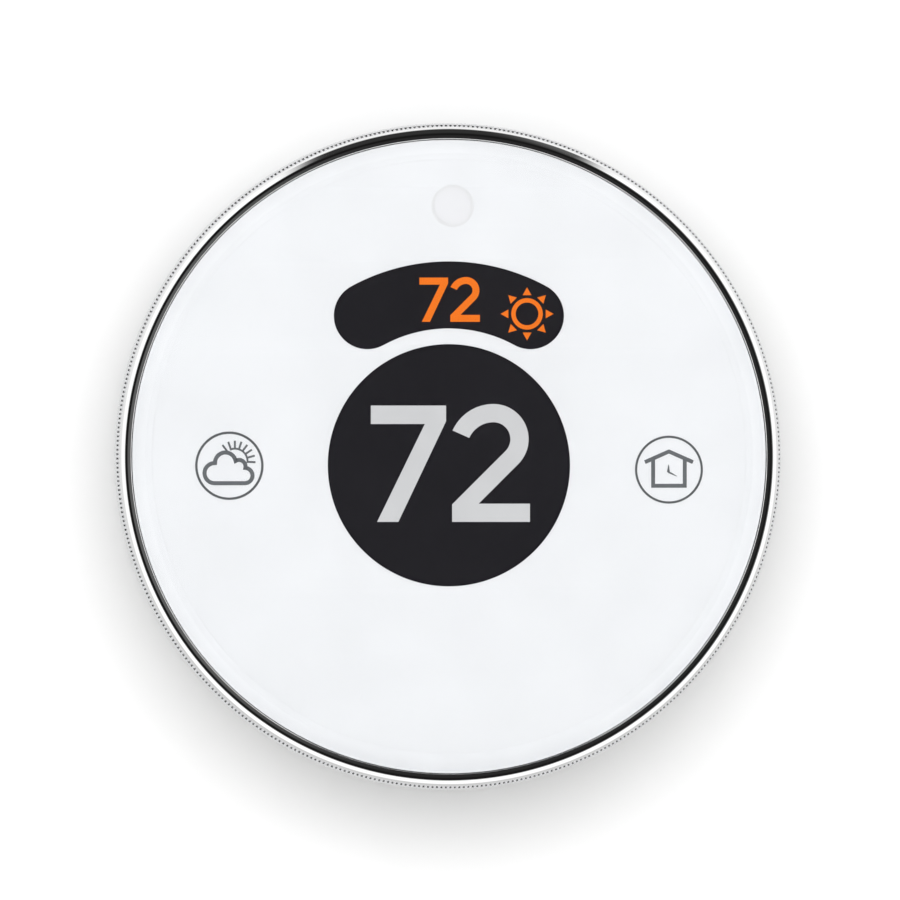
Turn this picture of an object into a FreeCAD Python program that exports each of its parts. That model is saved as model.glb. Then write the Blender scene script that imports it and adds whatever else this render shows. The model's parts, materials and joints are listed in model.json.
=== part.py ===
import FreeCAD, Part
import math
import os
from FreeCAD import Vector

# A round wall thermostat: a wall plate with the wire terminals, and a head that plugs onto it.
# Millimetres. The model is drawn on the bench, lying on its back: x to the right, y up the wall,
# z out from the wall. stand() turns it at the end, so that +Z is up and the face looks along -Y.
# The origin is the middle of the four mounting holes, on the wall plate's back face.

# Overall size.
BODY_R = 44.2          # the grip ring's rear lip, the widest part
BODY_DEPTH = 28.0      # wall to the middle of the face

# Clearances.
TURN_GAP = 0.3         # between curved faces that turn past each other
SLIP = 0.2             # between a loose piece and its pocket, each side
RUNNING = 0.05         # radial, between a pin or shaft and its bore

# Face.
LENS_R = BODY_R - 2.35
LENS_T = 2.2
LENS_CROWN = 0.8
LENS_EDGE_ROUND = 0.35
MASK_T = 0.4
FILM_T = 0.2
DISPLAY_R = 16.0
DISPLAY_Y = -1.15
ARCH_R = 22.5          # middle of the arched opening, about the display's centre
ARCH_HALF_WIDTH = 4.43
ARCH_HALF_ANGLE = 28.6
SENSOR_X = 0.5
SENSOR_Y = 33.1
SENSOR_R = 2.5

# Bezel and grip ring.
TRIM_OUT_R = BODY_R - 0.65
TRIM_IN_R = LENS_R + TURN_GAP
TRIM_CREST_R = BODY_R - 1.55
TRIM_PROUD = 0.15      # crest of the bezel above the lens's edge
TRIM_INNER_DROP = 0.35
TRIM_OUTER_DROP = 0.7
TRIM_H = 1.9
RIB_DEPTH = 0.28       # the ribbed band lies this much below the two smooth lips
REAR_LIP_H = 6.5
FRONT_LIP_H = 0.7
GRIP_WALL_R = BODY_R - 2.1
LAND_R = BODY_R - 3.38

# Front housing.
HOUSING_R = BODY_R - 3.9
HOUSING_WALL = 1.6
WEB_T = 1.2
FLANGE_T = 1.5
FLANGE_R = LENS_R - TURN_GAP
RING_END_PLAY = 0.4
GLIDE_H = 2.0
GLIDE_DEPTH = 0.6
BOSS_R = 2.6

# Wall plate.
PLATE_R = BODY_R - 6.2
PLATE_T = 2.2
PLATE_RIM_T = 1.2
PLATE_RIM_H = 4.2
HOLE_X = 25.5          # mounting holes, from the middle
HOLE_Y = 21.0
HOLE_R = 2.1
SCREW_SEAT_R = 3.6
SCREW_SEAT_DEPTH = 0.5
OPENING_X = 11.0
OPENING_Y0 = -7.0
OPENING_Y1 = 14.0
OPENING_ROUND = 3.0
LIP_T = 1.0
LIP_H = 1.0

# Terminals.
TERMINAL_COUNT = 5
TERMINAL_PITCH = 5.5
TERMINAL_Y = 3.45      # middle of each row
BLOCK_X0 = 19.0
BLOCK_X1 = 32.0
BLOCK_H = 6.8
TAB_X0 = 23.4
TAB_X1 = 28.0
TAB_W = 3.8
TAB_H = 1.8
TAB_PROUD = 0.6
TAB_TRAVEL = 1.2
WIRE_R = 1.1
WIRE_Z = PLATE_T + 2.8
CHAMBER_X0 = 22.4
CHAMBER_X1 = 29.2
STRIP_T = 0.35         # sheet brass of the clamps
BLADE_X = 30.6
BLADE_T = 0.6
BLADE_W = 2.0
BLADE_SOCKET_GAP = 0.35

# Level, jumper and latches on the wall plate.
VIAL_Y = 29.5
VIAL_R = 3.0
VIAL_L = 17.0
VIAL_WALL = 0.6
LINK_X = 9.5
LINK_Y = 18.4
LINK_L = 6.0
LINK_W = 3.6
LINK_H = 3.2
LINK_TRAVEL = 3.0
LATCH_X = 17.0
LATCH_Y = 27.5
PEG_R = 1.6
LATCH_SPRING_T = 0.4
LATCH_SPRING_H = 4.0

# Rear cover.
WIRING_SPACE = 7.8
FLOOR_T = 1.6
SKIRT_Z0 = 0.8
SKIRT_IN_R = PLATE_R + 0.4
SKIRT_REAR_R = BODY_R - 4.3
SKIRT_FRONT_R = BODY_R - 2.8
COVER_FLANGE_R = BODY_R - 0.9
COVER_FLANGE_T = 1.2
HALO_R = BODY_R - 0.35
HALO_H = 1.2
HALO_LEDS = 8
LED_W = 2.0
LED_DEPTH = 0.7
VENT_COUNT = 9
VENT_W = 1.4
VENT_H = 4.4
VENT_STEP = 5.2        # degrees

# Battery bay and door.
BATTERY_R = 8.5
BATTERY_L = 34.5
NUB_R = 3.2
NUB_L = 1.0
BAY_WALL = 1.0
BAY_ROOF = 0.8
BAY_END_ROOM = 2.35
BAY_SIDE_ROOM = 0.4
DOOR_Z0 = 0.8
DOOR_T = 1.0
DOOR_SEAT_GAP = 0.1
PIN_R = 0.6
KNUCKLE_R = 1.1
PIN_DROP = 1.3         # pin below the bay's lower wall
DOOR_EDGE = 1.5        # pin to the door's straight lower edge

# Gear drive of the encoder.
GEAR_MODULE = 0.6
GEAR_TEETH = 2 * round((BODY_R - 5.8) / GEAR_MODULE)
PINION_TEETH = 16
PRESSURE_ANGLE = math.radians(20)
BACKLASH = 0.12
GEAR_T = 2.5
GEAR_GAP = 0.2
GEAR_RING_R = BODY_R - 3.3
ENCODER_ANGLE = 45.0
SHAFT_R = 1.5

# Electronics.
BOARD_T = 1.6
BOARD_R = HOUSING_R - HOUSING_WALL - 0.4
SCREW_CIRCLE_R = BODY_R - 10.7
SCREW_ANGLES = (70, 110, 215, 325)
SCREW_R = 1.1
SCREW_HEAD_R = 2.2
SCREW_HEAD_H = 1.4
LCD_X = 17.0
LCD_Y0 = -18.2
LCD_Y1 = 26.8
LCD_T = 2.4
GUIDE_T = 2.0
TRAY_WALL = 1.0
TRAY_FLOOR = 0.6
POST_R = 1.5
RIBBON_T = 0.15
RIBBON_HALF = 6.0

# Levels above the wall, from the back.
FLOOR_Z0 = PLATE_T + WIRING_SPACE
FLOOR_Z1 = FLOOR_Z0 + FLOOR_T
GEAR_Z0 = FLOOR_Z1 + GEAR_GAP
GEAR_Z1 = GEAR_Z0 + GEAR_T
BOARD_Z0 = GEAR_Z1 + GEAR_GAP
BOARD_Z1 = BOARD_Z0 + BOARD_T
BLOCK_Z1 = PLATE_T + BLOCK_H
COVER_FLANGE_Z1 = FLOOR_Z0 + 0.2 + COVER_FLANGE_T
HALO_Z1 = COVER_FLANGE_Z1 - COVER_FLANGE_T
HALO_Z0 = HALO_Z1 - HALO_H
GRIP_Z0 = HALO_Z1 + 0.4

# Levels above the wall, from the front.
LENS_BACK = BODY_DEPTH - LENS_T
LENS_EDGE_Z = BODY_DEPTH - LENS_CROWN
MASK_BACK = LENS_BACK - MASK_T
WEB_Z1 = MASK_BACK - FILM_T
WEB_Z0 = WEB_Z1 - WEB_T
FLANGE_Z0 = MASK_BACK - FLANGE_T
GRIP_Z1 = LENS_EDGE_Z + TRIM_PROUD - TRIM_H
SHOULDER_Z = FLANGE_Z0 - RING_END_PLAY
LCD_Z1 = MASK_BACK - 0.05
LCD_Z0 = LCD_Z1 - LCD_T
TRAY_Z1 = LCD_Z0 - GUIDE_T
TRAY_Z0 = TRAY_Z1 - TRAY_FLOOR

# Places that follow from the sizes above.
GEAR_R = GEAR_TEETH * GEAR_MODULE / 2
GEAR_TIP_R = GEAR_R - 0.75 * GEAR_MODULE
PINION_PITCH_R = PINION_TEETH * GEAR_MODULE / 2
ENCODER_R = GEAR_R - PINION_PITCH_R
ENCODER_X = ENCODER_R * math.cos(math.radians(ENCODER_ANGLE))
ENCODER_Y = ENCODER_R * math.sin(math.radians(ENCODER_ANGLE))
BAY_IN_X = BATTERY_L / 2 + BAY_END_ROOM
BAY_OUT_X = BAY_IN_X + BAY_WALL
BAY_OUT_Y0 = -math.sqrt((GEAR_TIP_R - 2 * TURN_GAP) ** 2 - BAY_OUT_X ** 2)
BAY_IN_Y0 = BAY_OUT_Y0 + BAY_WALL
BATTERY_Y = BAY_IN_Y0 + BAY_SIDE_ROOM + BATTERY_R
BAY_IN_Y1 = BATTERY_Y + BATTERY_R + BAY_SIDE_ROOM
BAY_OUT_Y1 = BAY_IN_Y1 + BAY_WALL
DOOR_Z1 = DOOR_Z0 + DOOR_T
BAY_Z0 = DOOR_Z1 + DOOR_SEAT_GAP
BATTERY_Z = BAY_Z0 + SLIP + BATTERY_R
BAY_IN_Z1 = BATTERY_Z + BATTERY_R + SLIP
BAY_OUT_Z1 = BAY_IN_Z1 + BAY_ROOF
PIN_Y = BAY_OUT_Y0 - PIN_DROP
PIN_Z = (DOOR_Z0 + DOOR_Z1) / 2 + 0.2
NOTCH_X = BAY_OUT_X + 0.7
NOTCH_Y = BAY_OUT_Y1 + 0.7
TERMINAL_YS = [TERMINAL_Y + (i - (TERMINAL_COUNT - 1) / 2) * TERMINAL_PITCH for i in range(TERMINAL_COUNT)]
BLOCK_Y0 = TERMINAL_YS[0] - TERMINAL_PITCH / 2
BLOCK_Y1 = TERMINAL_YS[-1] + TERMINAL_PITCH / 2
SCREW_XYS = [
    (SCREW_CIRCLE_R * math.cos(math.radians(a)), SCREW_CIRCLE_R * math.sin(math.radians(a)))
    for a in SCREW_ANGLES
]
RIGHT = 1
LEFT = -1

nodes = {}


# Shapes that the pieces are made of.

def box(x0, x1, y0, y1, z0, z1):
    return Part.makeBox(x1 - x0, y1 - y0, z1 - z0, Vector(x0, y0, z0))


def centred_box(x, y, wide, high, z0, z1):
    return box(x - wide / 2, x + wide / 2, y - high / 2, y + high / 2, z0, z1)


def disc(radius, z0, z1, x=0.0, y=0.0):
    return Part.makeCylinder(radius, z1 - z0, Vector(x, y, z0))


def tube(outer, inner, z0, z1, x=0.0, y=0.0):
    return disc(outer, z0, z1, x, y).cut(disc(inner, z0 - 1, z1 + 1, x, y))


def rod_x(radius, x0, x1, y, z):
    return Part.makeCylinder(radius, x1 - x0, Vector(x0, y, z), Vector(1, 0, 0))


def outline(corners):
    """Closed wire in the x, y plane through corners (x, y, radius), each rounded by its radius."""
    ends = []
    for i, (x, y, radius) in enumerate(corners):
        here = Vector(x, y, 0)
        if radius == 0:
            ends.append((here, here, here))
            continue
        before = corners[i - 1]
        after = corners[(i + 1) % len(corners)]
        to_before = (Vector(before[0], before[1], 0) - here).normalize()
        to_after = (Vector(after[0], after[1], 0) - here).normalize()
        half = to_before.getAngle(to_after) / 2
        middle = (to_before + to_after).normalize()
        run = radius / math.tan(half)
        mid = here + middle * (radius / math.sin(half) - radius)
        ends.append((here + to_before * run, mid, here + to_after * run))
    edges = []
    for i, (start, mid, end) in enumerate(ends):
        if (end - start).Length > 1e-6:
            edges.append(Part.Arc(start, mid, end).toShape())
        following = ends[(i + 1) % len(ends)][0]
        if (following - end).Length > 1e-6:
            edges.append(Part.LineSegment(end, following).toShape())
    return Part.Wire(edges)


def extrude(corners, z0, z1):
    face = Part.Face(outline(corners))
    face.translate(Vector(0, 0, z0))
    return face.extrude(Vector(0, 0, z1 - z0))


def rounded_box(x0, x1, y0, y1, z0, z1, radius):
    return extrude([(x0, y0, radius), (x1, y0, radius), (x1, y1, radius), (x0, y1, radius)], z0, z1)


def turn(corners):
    """Solid of revolution about the z axis from corners (r, z, radius)."""
    wire = outline(corners)
    wire.rotate(Vector(0, 0, 0), Vector(1, 0, 0), 90)
    return Part.Face(wire).revolve(Vector(0, 0, 0), Vector(0, 0, 1), 360)


def side_profile(corners, y0, y1):
    """A section (x, z, radius), drawn seen from below and drawn out along y from y0 to y1."""
    wire = outline(corners)
    wire.rotate(Vector(0, 0, 0), Vector(1, 0, 0), 90)
    wire.translate(Vector(0, y0, 0))
    return Part.Face(wire).extrude(Vector(0, y1 - y0, 0))


def join(shapes):
    whole = shapes[0].fuse(shapes[1:]) if len(shapes) > 1 else shapes[0]
    return whole.removeSplitter()


def cut(shape, tools):
    return shape.cut(Part.makeCompound(tools))


def at_angle(shape, degrees):
    shape = shape.copy()
    shape.rotate(Vector(0, 0, 0), Vector(0, 0, 1), degrees)
    return shape


def mirrored(shape, side):
    return shape if side == RIGHT else shape.mirror(Vector(0, 0, 0), Vector(1, 0, 0))


def stand(shape):
    shape = shape.copy()
    shape.rotate(Vector(0, 0, 0), Vector(1, 0, 0), 90)
    return shape


def add(name, shape):
    nodes[name] = shape


# Face.

def face_lens():
    """The window's front is part of a sphere, with its centre on the axis behind the wall."""
    sphere_r = (LENS_R ** 2 + LENS_CROWN ** 2) / (2 * LENS_CROWN)
    sphere_z = BODY_DEPTH - sphere_r

    def crown_point(radius):
        return Vector(radius, 0, sphere_z + math.sqrt(sphere_r ** 2 - radius ** 2))

    edge = LENS_R - LENS_EDGE_ROUND
    corner = Vector(LENS_R, 0, LENS_EDGE_Z - LENS_EDGE_ROUND)
    corner_mid = Vector(LENS_R - 0.29 * LENS_EDGE_ROUND, 0, LENS_EDGE_Z - 0.29 * LENS_EDGE_ROUND)
    edges = [
        Part.LineSegment(Vector(0, 0, LENS_BACK), Vector(LENS_R, 0, LENS_BACK)).toShape(),
        Part.LineSegment(Vector(LENS_R, 0, LENS_BACK), corner).toShape(),
        Part.Arc(corner, corner_mid, crown_point(edge)).toShape(),
        Part.Arc(crown_point(edge), crown_point(edge / 2), crown_point(0)).toShape(),
        Part.LineSegment(crown_point(0), Vector(0, 0, LENS_BACK)).toShape(),
    ]
    face = Part.Face(Part.Wire(edges))
    return face.revolve(Vector(0, 0, 0), Vector(0, 0, 1), 360)


def arch_window(z0, z1):
    """The arched opening: a band about the display's centre with full-round ends."""
    outer = ARCH_R + ARCH_HALF_WIDTH
    inner = ARCH_R - ARCH_HALF_WIDTH
    band = Part.makeCylinder(outer, z1 - z0, Vector(0, 0, z0), Vector(0, 0, 1), 2 * ARCH_HALF_ANGLE)
    band = band.cut(disc(inner, z0 - 1, z1 + 1))
    band = at_angle(band, 90 - ARCH_HALF_ANGLE)
    cap = disc(ARCH_HALF_WIDTH, z0, z1, ARCH_R)
    ends = [at_angle(cap, 90 + side * ARCH_HALF_ANGLE) for side in (RIGHT, LEFT)]
    window = band.fuse(ends)
    window.translate(Vector(0, DISPLAY_Y, 0))
    return window


def face_mask():
    openings = [
        disc(DISPLAY_R, MASK_BACK - 1, LENS_BACK + 1, 0, DISPLAY_Y),
        arch_window(MASK_BACK - 1, LENS_BACK + 1),
        disc(SENSOR_R, MASK_BACK - 1, LENS_BACK + 1, SENSOR_X, SENSOR_Y),
    ]
    return cut(disc(FLANGE_R, MASK_BACK, LENS_BACK), openings)


def touch_film():
    sheet = disc(HOUSING_R - HOUSING_WALL - SLIP, WEB_Z1, MASK_BACK)
    gaps = [
        lcd_window(WEB_Z1 - 1, MASK_BACK + 1),
        disc(SENSOR_R + 2 * SLIP, WEB_Z1 - 1, MASK_BACK + 1, SENSOR_X, SENSOR_Y),
    ]
    return cut(sheet, gaps)


def motion_lens():
    head = disc(SENSOR_R - SLIP / 2, MASK_BACK, LENS_BACK, SENSOR_X, SENSOR_Y)
    body = disc(SENSOR_R + SLIP, WEB_Z0 - 0.6, MASK_BACK, SENSOR_X, SENSOR_Y)
    return join([head, body])


# Display stack.

def lcd_window(z0, z1):
    return rounded_box(-LCD_X - SLIP, LCD_X + SLIP, LCD_Y0 - SLIP, LCD_Y1 + SLIP, z0, z1, 0.8)


def lcd_panel():
    return rounded_box(-LCD_X, LCD_X, LCD_Y0, LCD_Y1, LCD_Z0, LCD_Z1, 0.6)


def backlight_guide():
    return rounded_box(-LCD_X + 0.3, LCD_X - 0.3, LCD_Y0 + 0.3, LCD_Y1 - 0.3, TRAY_Z1, LCD_Z0, 0.6)


def display_frame():
    reach = SLIP + TRAY_WALL
    tray = rounded_box(
        -LCD_X - reach, LCD_X + reach, LCD_Y0 - reach, LCD_Y1 + reach, TRAY_Z0, WEB_Z0, 1.6
    )
    ribbon_gap = box(LCD_X, LCD_X + 2 * reach, -RIBBON_HALF - SLIP, RIBBON_HALF + SLIP, LCD_Z0, WEB_Z0 + 1)
    tray = cut(tray, [lcd_window(TRAY_Z1, WEB_Z0 + 1), ribbon_gap])
    post_x = LCD_X - 2
    post_places = [(side * post_x, y) for side in (RIGHT, LEFT) for y in (24.0, -8.0)]
    posts = [disc(POST_R, BOARD_Z1, TRAY_Z0, x, y) for x, y in post_places]
    return join([tray] + posts)


def display_ribbon():
    level = LCD_Z0 + 0.4
    bend = 1.5
    run_x = LCD_X + SLIP + TRAY_WALL + 0.5
    drop_x = run_x + bend
    flat = box(LCD_X, run_x, -RIBBON_HALF, RIBBON_HALF, level, level + RIBBON_T)
    down = box(drop_x, drop_x + RIBBON_T, -RIBBON_HALF, RIBBON_HALF, BOARD_Z1 + 1.8, level - bend)
    centre = Vector(run_x, -RIBBON_HALF, level - bend)
    outer = Part.makeCylinder(bend + RIBBON_T, 2 * RIBBON_HALF, centre, Vector(0, 1, 0))
    inner = Part.makeCylinder(bend, 2 * RIBBON_HALF, centre, Vector(0, 1, 0))
    quarter = box(run_x, drop_x + 1, -RIBBON_HALF, RIBBON_HALF, level - bend, level + 1)
    socket = centred_box(drop_x, 0, 1.8, 2 * RIBBON_HALF + 2, BOARD_Z1, BOARD_Z1 + 1.8)
    return join([flat, outer.cut(inner).common(quarter), down, socket])


# Bezel and grip ring.

def chrome_trim():
    crest = LENS_EDGE_Z + TRIM_PROUD
    return turn([
        (TRIM_IN_R, GRIP_Z1, 0),
        (TRIM_OUT_R, GRIP_Z1, 0),
        (TRIM_OUT_R, crest - TRIM_OUTER_DROP, 0.3),
        (TRIM_CREST_R + 0.4, crest - 0.15, 0.3),
        (TRIM_CREST_R, crest, 0.2),
        (TRIM_IN_R, crest - TRIM_INNER_DROP, 0),
    ])


def grip_profile_r(z):
    """The grip is a shallow cone: its lips follow this line from front to back."""
    share = (z - GRIP_Z0) / (GRIP_Z1 - GRIP_Z0)
    return BODY_R + (TRIM_OUT_R - BODY_R) * share


def grip_ring():
    band_z0 = GRIP_Z0 + REAR_LIP_H
    band_z1 = GRIP_Z1 - FRONT_LIP_H
    return turn([
        (BODY_R, GRIP_Z0, 0.3),
        (grip_profile_r(band_z0), band_z0, 0.1),
        (grip_profile_r(band_z0) - RIB_DEPTH, band_z0 + 0.2, 0),
        (grip_profile_r(band_z1) - RIB_DEPTH, band_z1 - 0.2, 0),
        (grip_profile_r(band_z1), band_z1, 0.1),
        (TRIM_OUT_R, GRIP_Z1, 0),
        (GRIP_WALL_R, GRIP_Z1, 0),
        (GRIP_WALL_R, SHOULDER_Z, 0),
        (LAND_R, SHOULDER_Z, 0.2),
        (LAND_R, BOARD_Z0, 0),
        (GEAR_RING_R, BOARD_Z0, 0),
        (GEAR_RING_R, COVER_FLANGE_Z1 + TURN_GAP, 0),
        (COVER_FLANGE_R + TURN_GAP, COVER_FLANGE_Z1 + TURN_GAP, 0),
        (COVER_FLANGE_R + TURN_GAP, GRIP_Z0, 0),
    ])


# Gears.

def involute(base_r, radius):
    angle = math.acos(min(1.0, base_r / radius))
    return math.tan(angle) - angle


def gear_outline(teeth, tip_r, root_r, extra):
    """External gear wire with a tooth along +x. extra widens each tooth at the pitch circle."""
    pitch_r = teeth * GEAR_MODULE / 2
    base_r = pitch_r * math.cos(PRESSURE_ANGLE)
    half = math.pi / (2 * teeth) + extra / (2 * pitch_r) + involute(base_r, pitch_r)
    low_r = max(root_r, base_r)
    mid_r = (low_r + tip_r) / 2

    def point(radius, angle):
        return Vector(radius * math.cos(angle), radius * math.sin(angle), 0)

    edges = []
    for i in range(teeth):
        centre = 2 * math.pi * i / teeth
        following = 2 * math.pi * (i + 1) / teeth
        low = half - involute(base_r, low_r)
        mid = half - involute(base_r, mid_r)
        tip = half - involute(base_r, tip_r)
        if root_r < low_r:
            foot = Part.LineSegment(point(root_r, centre - low), point(low_r, centre - low))
            edges.append(foot.toShape())
        rise = Part.Arc(point(low_r, centre - low), point(mid_r, centre - mid), point(tip_r, centre - tip))
        land = Part.Arc(point(tip_r, centre - tip), point(tip_r, centre), point(tip_r, centre + tip))
        fall = Part.Arc(point(tip_r, centre + tip), point(mid_r, centre + mid), point(low_r, centre + low))
        edges += [rise.toShape(), land.toShape(), fall.toShape()]
        if root_r < low_r:
            foot = Part.LineSegment(point(low_r, centre + low), point(root_r, centre + low))
            edges.append(foot.toShape())
        gap_mid = (centre + following) / 2
        gap = Part.Arc(point(root_r, centre + low), point(root_r, gap_mid), point(root_r, following - low))
        edges.append(gap.toShape())
    return Part.Wire(edges)


def gear_ring():
    spaces = gear_outline(GEAR_TEETH, GEAR_R + 1.25 * GEAR_MODULE, GEAR_TIP_R, BACKLASH / 2)
    spaces.translate(Vector(0, 0, GEAR_Z0 - 1))
    cutter = Part.Face(spaces).extrude(Vector(0, 0, GEAR_T + 2))
    return disc(GEAR_RING_R, GEAR_Z0, GEAR_Z1).cut(at_angle(cutter, ENCODER_ANGLE))


def encoder_pinion():
    tip_r = PINION_PITCH_R + 0.95 * GEAR_MODULE
    root_r = PINION_PITCH_R - 1.25 * GEAR_MODULE
    teeth = gear_outline(PINION_TEETH, tip_r, root_r, -BACKLASH / 2)
    teeth.translate(Vector(0, 0, GEAR_Z0 + 0.2))
    wheel = Part.Face(teeth).extrude(Vector(0, 0, GEAR_T - 0.3))
    wheel = at_angle(wheel, ENCODER_ANGLE)
    wheel.translate(Vector(ENCODER_X, ENCODER_Y, 0))
    shaft = disc(SHAFT_R, GEAR_Z0 + 0.2, BOARD_Z1 + 3.0, ENCODER_X, ENCODER_Y)
    pivot = disc(0.8, FLOOR_Z1 - 0.7, GEAR_Z0 + 0.2, ENCODER_X, ENCODER_Y)
    return join([wheel, shaft, pivot])


def encoder_body():
    size = 7.6
    body = centred_box(ENCODER_R, 0, size, size, BOARD_Z1, BOARD_Z1 + 3.4)
    collar = disc(SHAFT_R + 1.2, BOARD_Z1 + 3.4, BOARD_Z1 + 4.0, ENCODER_R)
    bore = disc(SHAFT_R + RUNNING, BOARD_Z1 - 1, BOARD_Z1 + 3.2, ENCODER_R)
    return at_angle(join([body, collar]).cut(bore), ENCODER_ANGLE)


# Front housing and its bearing.

def glide_groove_z():
    return (SHOULDER_Z + BOARD_Z0) / 2 - GLIDE_H / 2


def front_housing():
    inner_r = HOUSING_R - HOUSING_WALL
    groove_z = glide_groove_z()
    shell = turn([
        (inner_r, BOARD_Z0 + 0.1, 0),
        (HOUSING_R, BOARD_Z0 + 0.1, 0),
        (HOUSING_R, groove_z, 0),
        (HOUSING_R - GLIDE_DEPTH, groove_z, 0),
        (HOUSING_R - GLIDE_DEPTH, groove_z + GLIDE_H, 0),
        (HOUSING_R, groove_z + GLIDE_H, 0),
        (HOUSING_R, FLANGE_Z0, 0),
        (FLANGE_R, FLANGE_Z0, 0),
        (FLANGE_R, MASK_BACK, 0.2),
        (inner_r, MASK_BACK, 0),
    ])
    web = disc(inner_r, WEB_Z0, WEB_Z1)
    bosses = [disc(BOSS_R, BOARD_Z1, WEB_Z0, x, y) for x, y in SCREW_XYS]
    gaps = [disc(SCREW_R + RUNNING, BOARD_Z1 - 1, WEB_Z0 - 2.0, x, y) for x, y in SCREW_XYS]
    gaps.append(lcd_window(WEB_Z0 - 1, WEB_Z1 + 1))
    gaps.append(disc(SENSOR_R + 2 * SLIP, WEB_Z0 - 1, WEB_Z1 + 1, SENSOR_X, SENSOR_Y))
    return cut(join([shell, web] + bosses), gaps)


def glide_ring():
    z = glide_groove_z()
    return tube(LAND_R - RUNNING, HOUSING_R - GLIDE_DEPTH + RUNNING, z + 0.1, z + GLIDE_H - 0.1)


# Board and what stands on it.

def main_board():
    board = disc(BOARD_R, BOARD_Z0, BOARD_Z1)
    gaps = [disc(SCREW_R + SLIP, BOARD_Z0 - 1, BOARD_Z1 + 1, x, y) for x, y in SCREW_XYS]
    gaps.append(disc(SHAFT_R + TURN_GAP, BOARD_Z0 - 1, BOARD_Z1 + 1, ENCODER_X, ENCODER_Y))
    bay_x = BAY_OUT_X + TURN_GAP
    gaps.append(box(-bay_x, bay_x, -BOARD_R - 1, BAY_OUT_Y1 + TURN_GAP, BOARD_Z0 - 1, BOARD_Z1 + 1))
    return cut(board, gaps)


def processor():
    return centred_box(4, 4, 12, 12, BOARD_Z1, BOARD_Z1 + 1.4)


def radio_module():
    carrier = centred_box(-2, 20, 16, 12, BOARD_Z1, BOARD_Z1 + 0.8)
    can = rounded_box(-9, 1.5, 15, 25, BOARD_Z1 + 0.8, BOARD_Z1 + 2.6, 0.6)
    return join([carrier, can])


def output_relays():
    count = 3
    return Part.makeCompound([
        rounded_box(-31, -21, -8 + 7 * i, -2.2 + 7 * i, BOARD_Z1, BOARD_Z1 + 5, 0.5) for i in range(count)
    ])


def sounder():
    body = disc(4.5, BOARD_Z1, BOARD_Z1 + 3, -25, 20)
    return body.cut(disc(0.9, BOARD_Z1 + 2.2, BOARD_Z1 + 4, -25, 20))


def motion_sensor():
    base = disc(3.0, BOARD_Z1, BOARD_Z1 + 0.8, SENSOR_X, SENSOR_Y)
    can = disc(2.6, BOARD_Z1 + 0.8, WEB_Z0 - 1.2, SENSOR_X, SENSOR_Y)
    return join([base, can])


def climate_sensor():
    return centred_box(-33.5, -10.5, 3, 3, BOARD_Z1, BOARD_Z1 + 1.2)


def backup_capacitor():
    return turn([
        (0, BOARD_Z1, 0), (4.5, BOARD_Z1, 0.3), (4.5, BOARD_Z1 + 5.5, 0.6), (0, BOARD_Z1 + 5.5, 0)
    ]).translated(Vector(27, 2, 0))


def power_inductor():
    return rounded_box(24.5, 31.5, -12, -5, BOARD_Z1, BOARD_Z1 + 4, 1.2)


# Halo.

def halo_light_ring():
    ring = turn([
        (SKIRT_FRONT_R + 0.1, HALO_Z0, 0),
        (HALO_R, HALO_Z0, 0.4),
        (HALO_R, HALO_Z1, 0.15),
        (SKIRT_FRONT_R + 0.1, HALO_Z1, 0),
    ])
    pocket = box(SKIRT_FRONT_R - 1, SKIRT_FRONT_R + LED_DEPTH + 0.3, -LED_W / 2 - SLIP, LED_W / 2 + SLIP,
                 HALO_Z0 - 1, HALO_Z1 + 1)
    return cut(ring, [at_angle(pocket, (i + 0.5) * 360 / HALO_LEDS) for i in range(HALO_LEDS)])


def halo_leds():
    led = box(SKIRT_FRONT_R + 0.1, SKIRT_FRONT_R + 0.1 + LED_DEPTH, -LED_W / 2, LED_W / 2,
              HALO_Z0 + 0.1, HALO_Z1 - 0.1)
    return Part.makeCompound([at_angle(led, (i + 0.5) * 360 / HALO_LEDS) for i in range(HALO_LEDS)])


# Rear cover with its battery bay.

def cover_shell():
    return turn([
        (0, FLOOR_Z0, 0),
        (SKIRT_IN_R, FLOOR_Z0, 0.4),
        (SKIRT_IN_R, SKIRT_Z0, 0),
        (SKIRT_REAR_R, SKIRT_Z0, 0.4),
        (SKIRT_FRONT_R, HALO_Z0 - 0.6, 0),
        (SKIRT_FRONT_R, HALO_Z1, 0),
        (COVER_FLANGE_R, HALO_Z1, 0),
        (COVER_FLANGE_R, COVER_FLANGE_Z1, 0.2),
        (GEAR_TIP_R - TURN_GAP, COVER_FLANGE_Z1, 0),
        (GEAR_TIP_R - TURN_GAP, FLOOR_Z1, 0),
        (0, FLOOR_Z1, 0),
    ])


def vent_slots():
    slot = box(SKIRT_IN_R - 1, BODY_R, -VENT_W / 2, VENT_W / 2, PLATE_T + 0.8, PLATE_T + 0.8 + VENT_H)
    turns = [(i - (VENT_COUNT - 1) / 2) * VENT_STEP for i in range(VENT_COUNT)]
    return [at_angle(slot, side + a) for side in (90, -90) for a in turns]


def bay_lugs():
    lugs = []
    for x0, x1 in ((-17.0, -11.8), (-6.2, 6.2), (11.8, 17.0)):
        foot = box(x0, x1, PIN_Y, BAY_IN_Y0, PIN_Z, BAY_Z0 + 1.2)
        foot = foot.cut(box(x0, x1, BAY_OUT_Y0 - 0.1, BAY_IN_Y0, PIN_Z - 1, BAY_Z0))
        lugs.append(foot.fuse(rod_x(KNUCKLE_R, x0, x1, PIN_Y, PIN_Z)))
    return lugs


def bay_block(z0, z1):
    return rounded_box(-BAY_OUT_X, BAY_OUT_X, BAY_OUT_Y0, BAY_OUT_Y1, z0, z1, 0.8)


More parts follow.
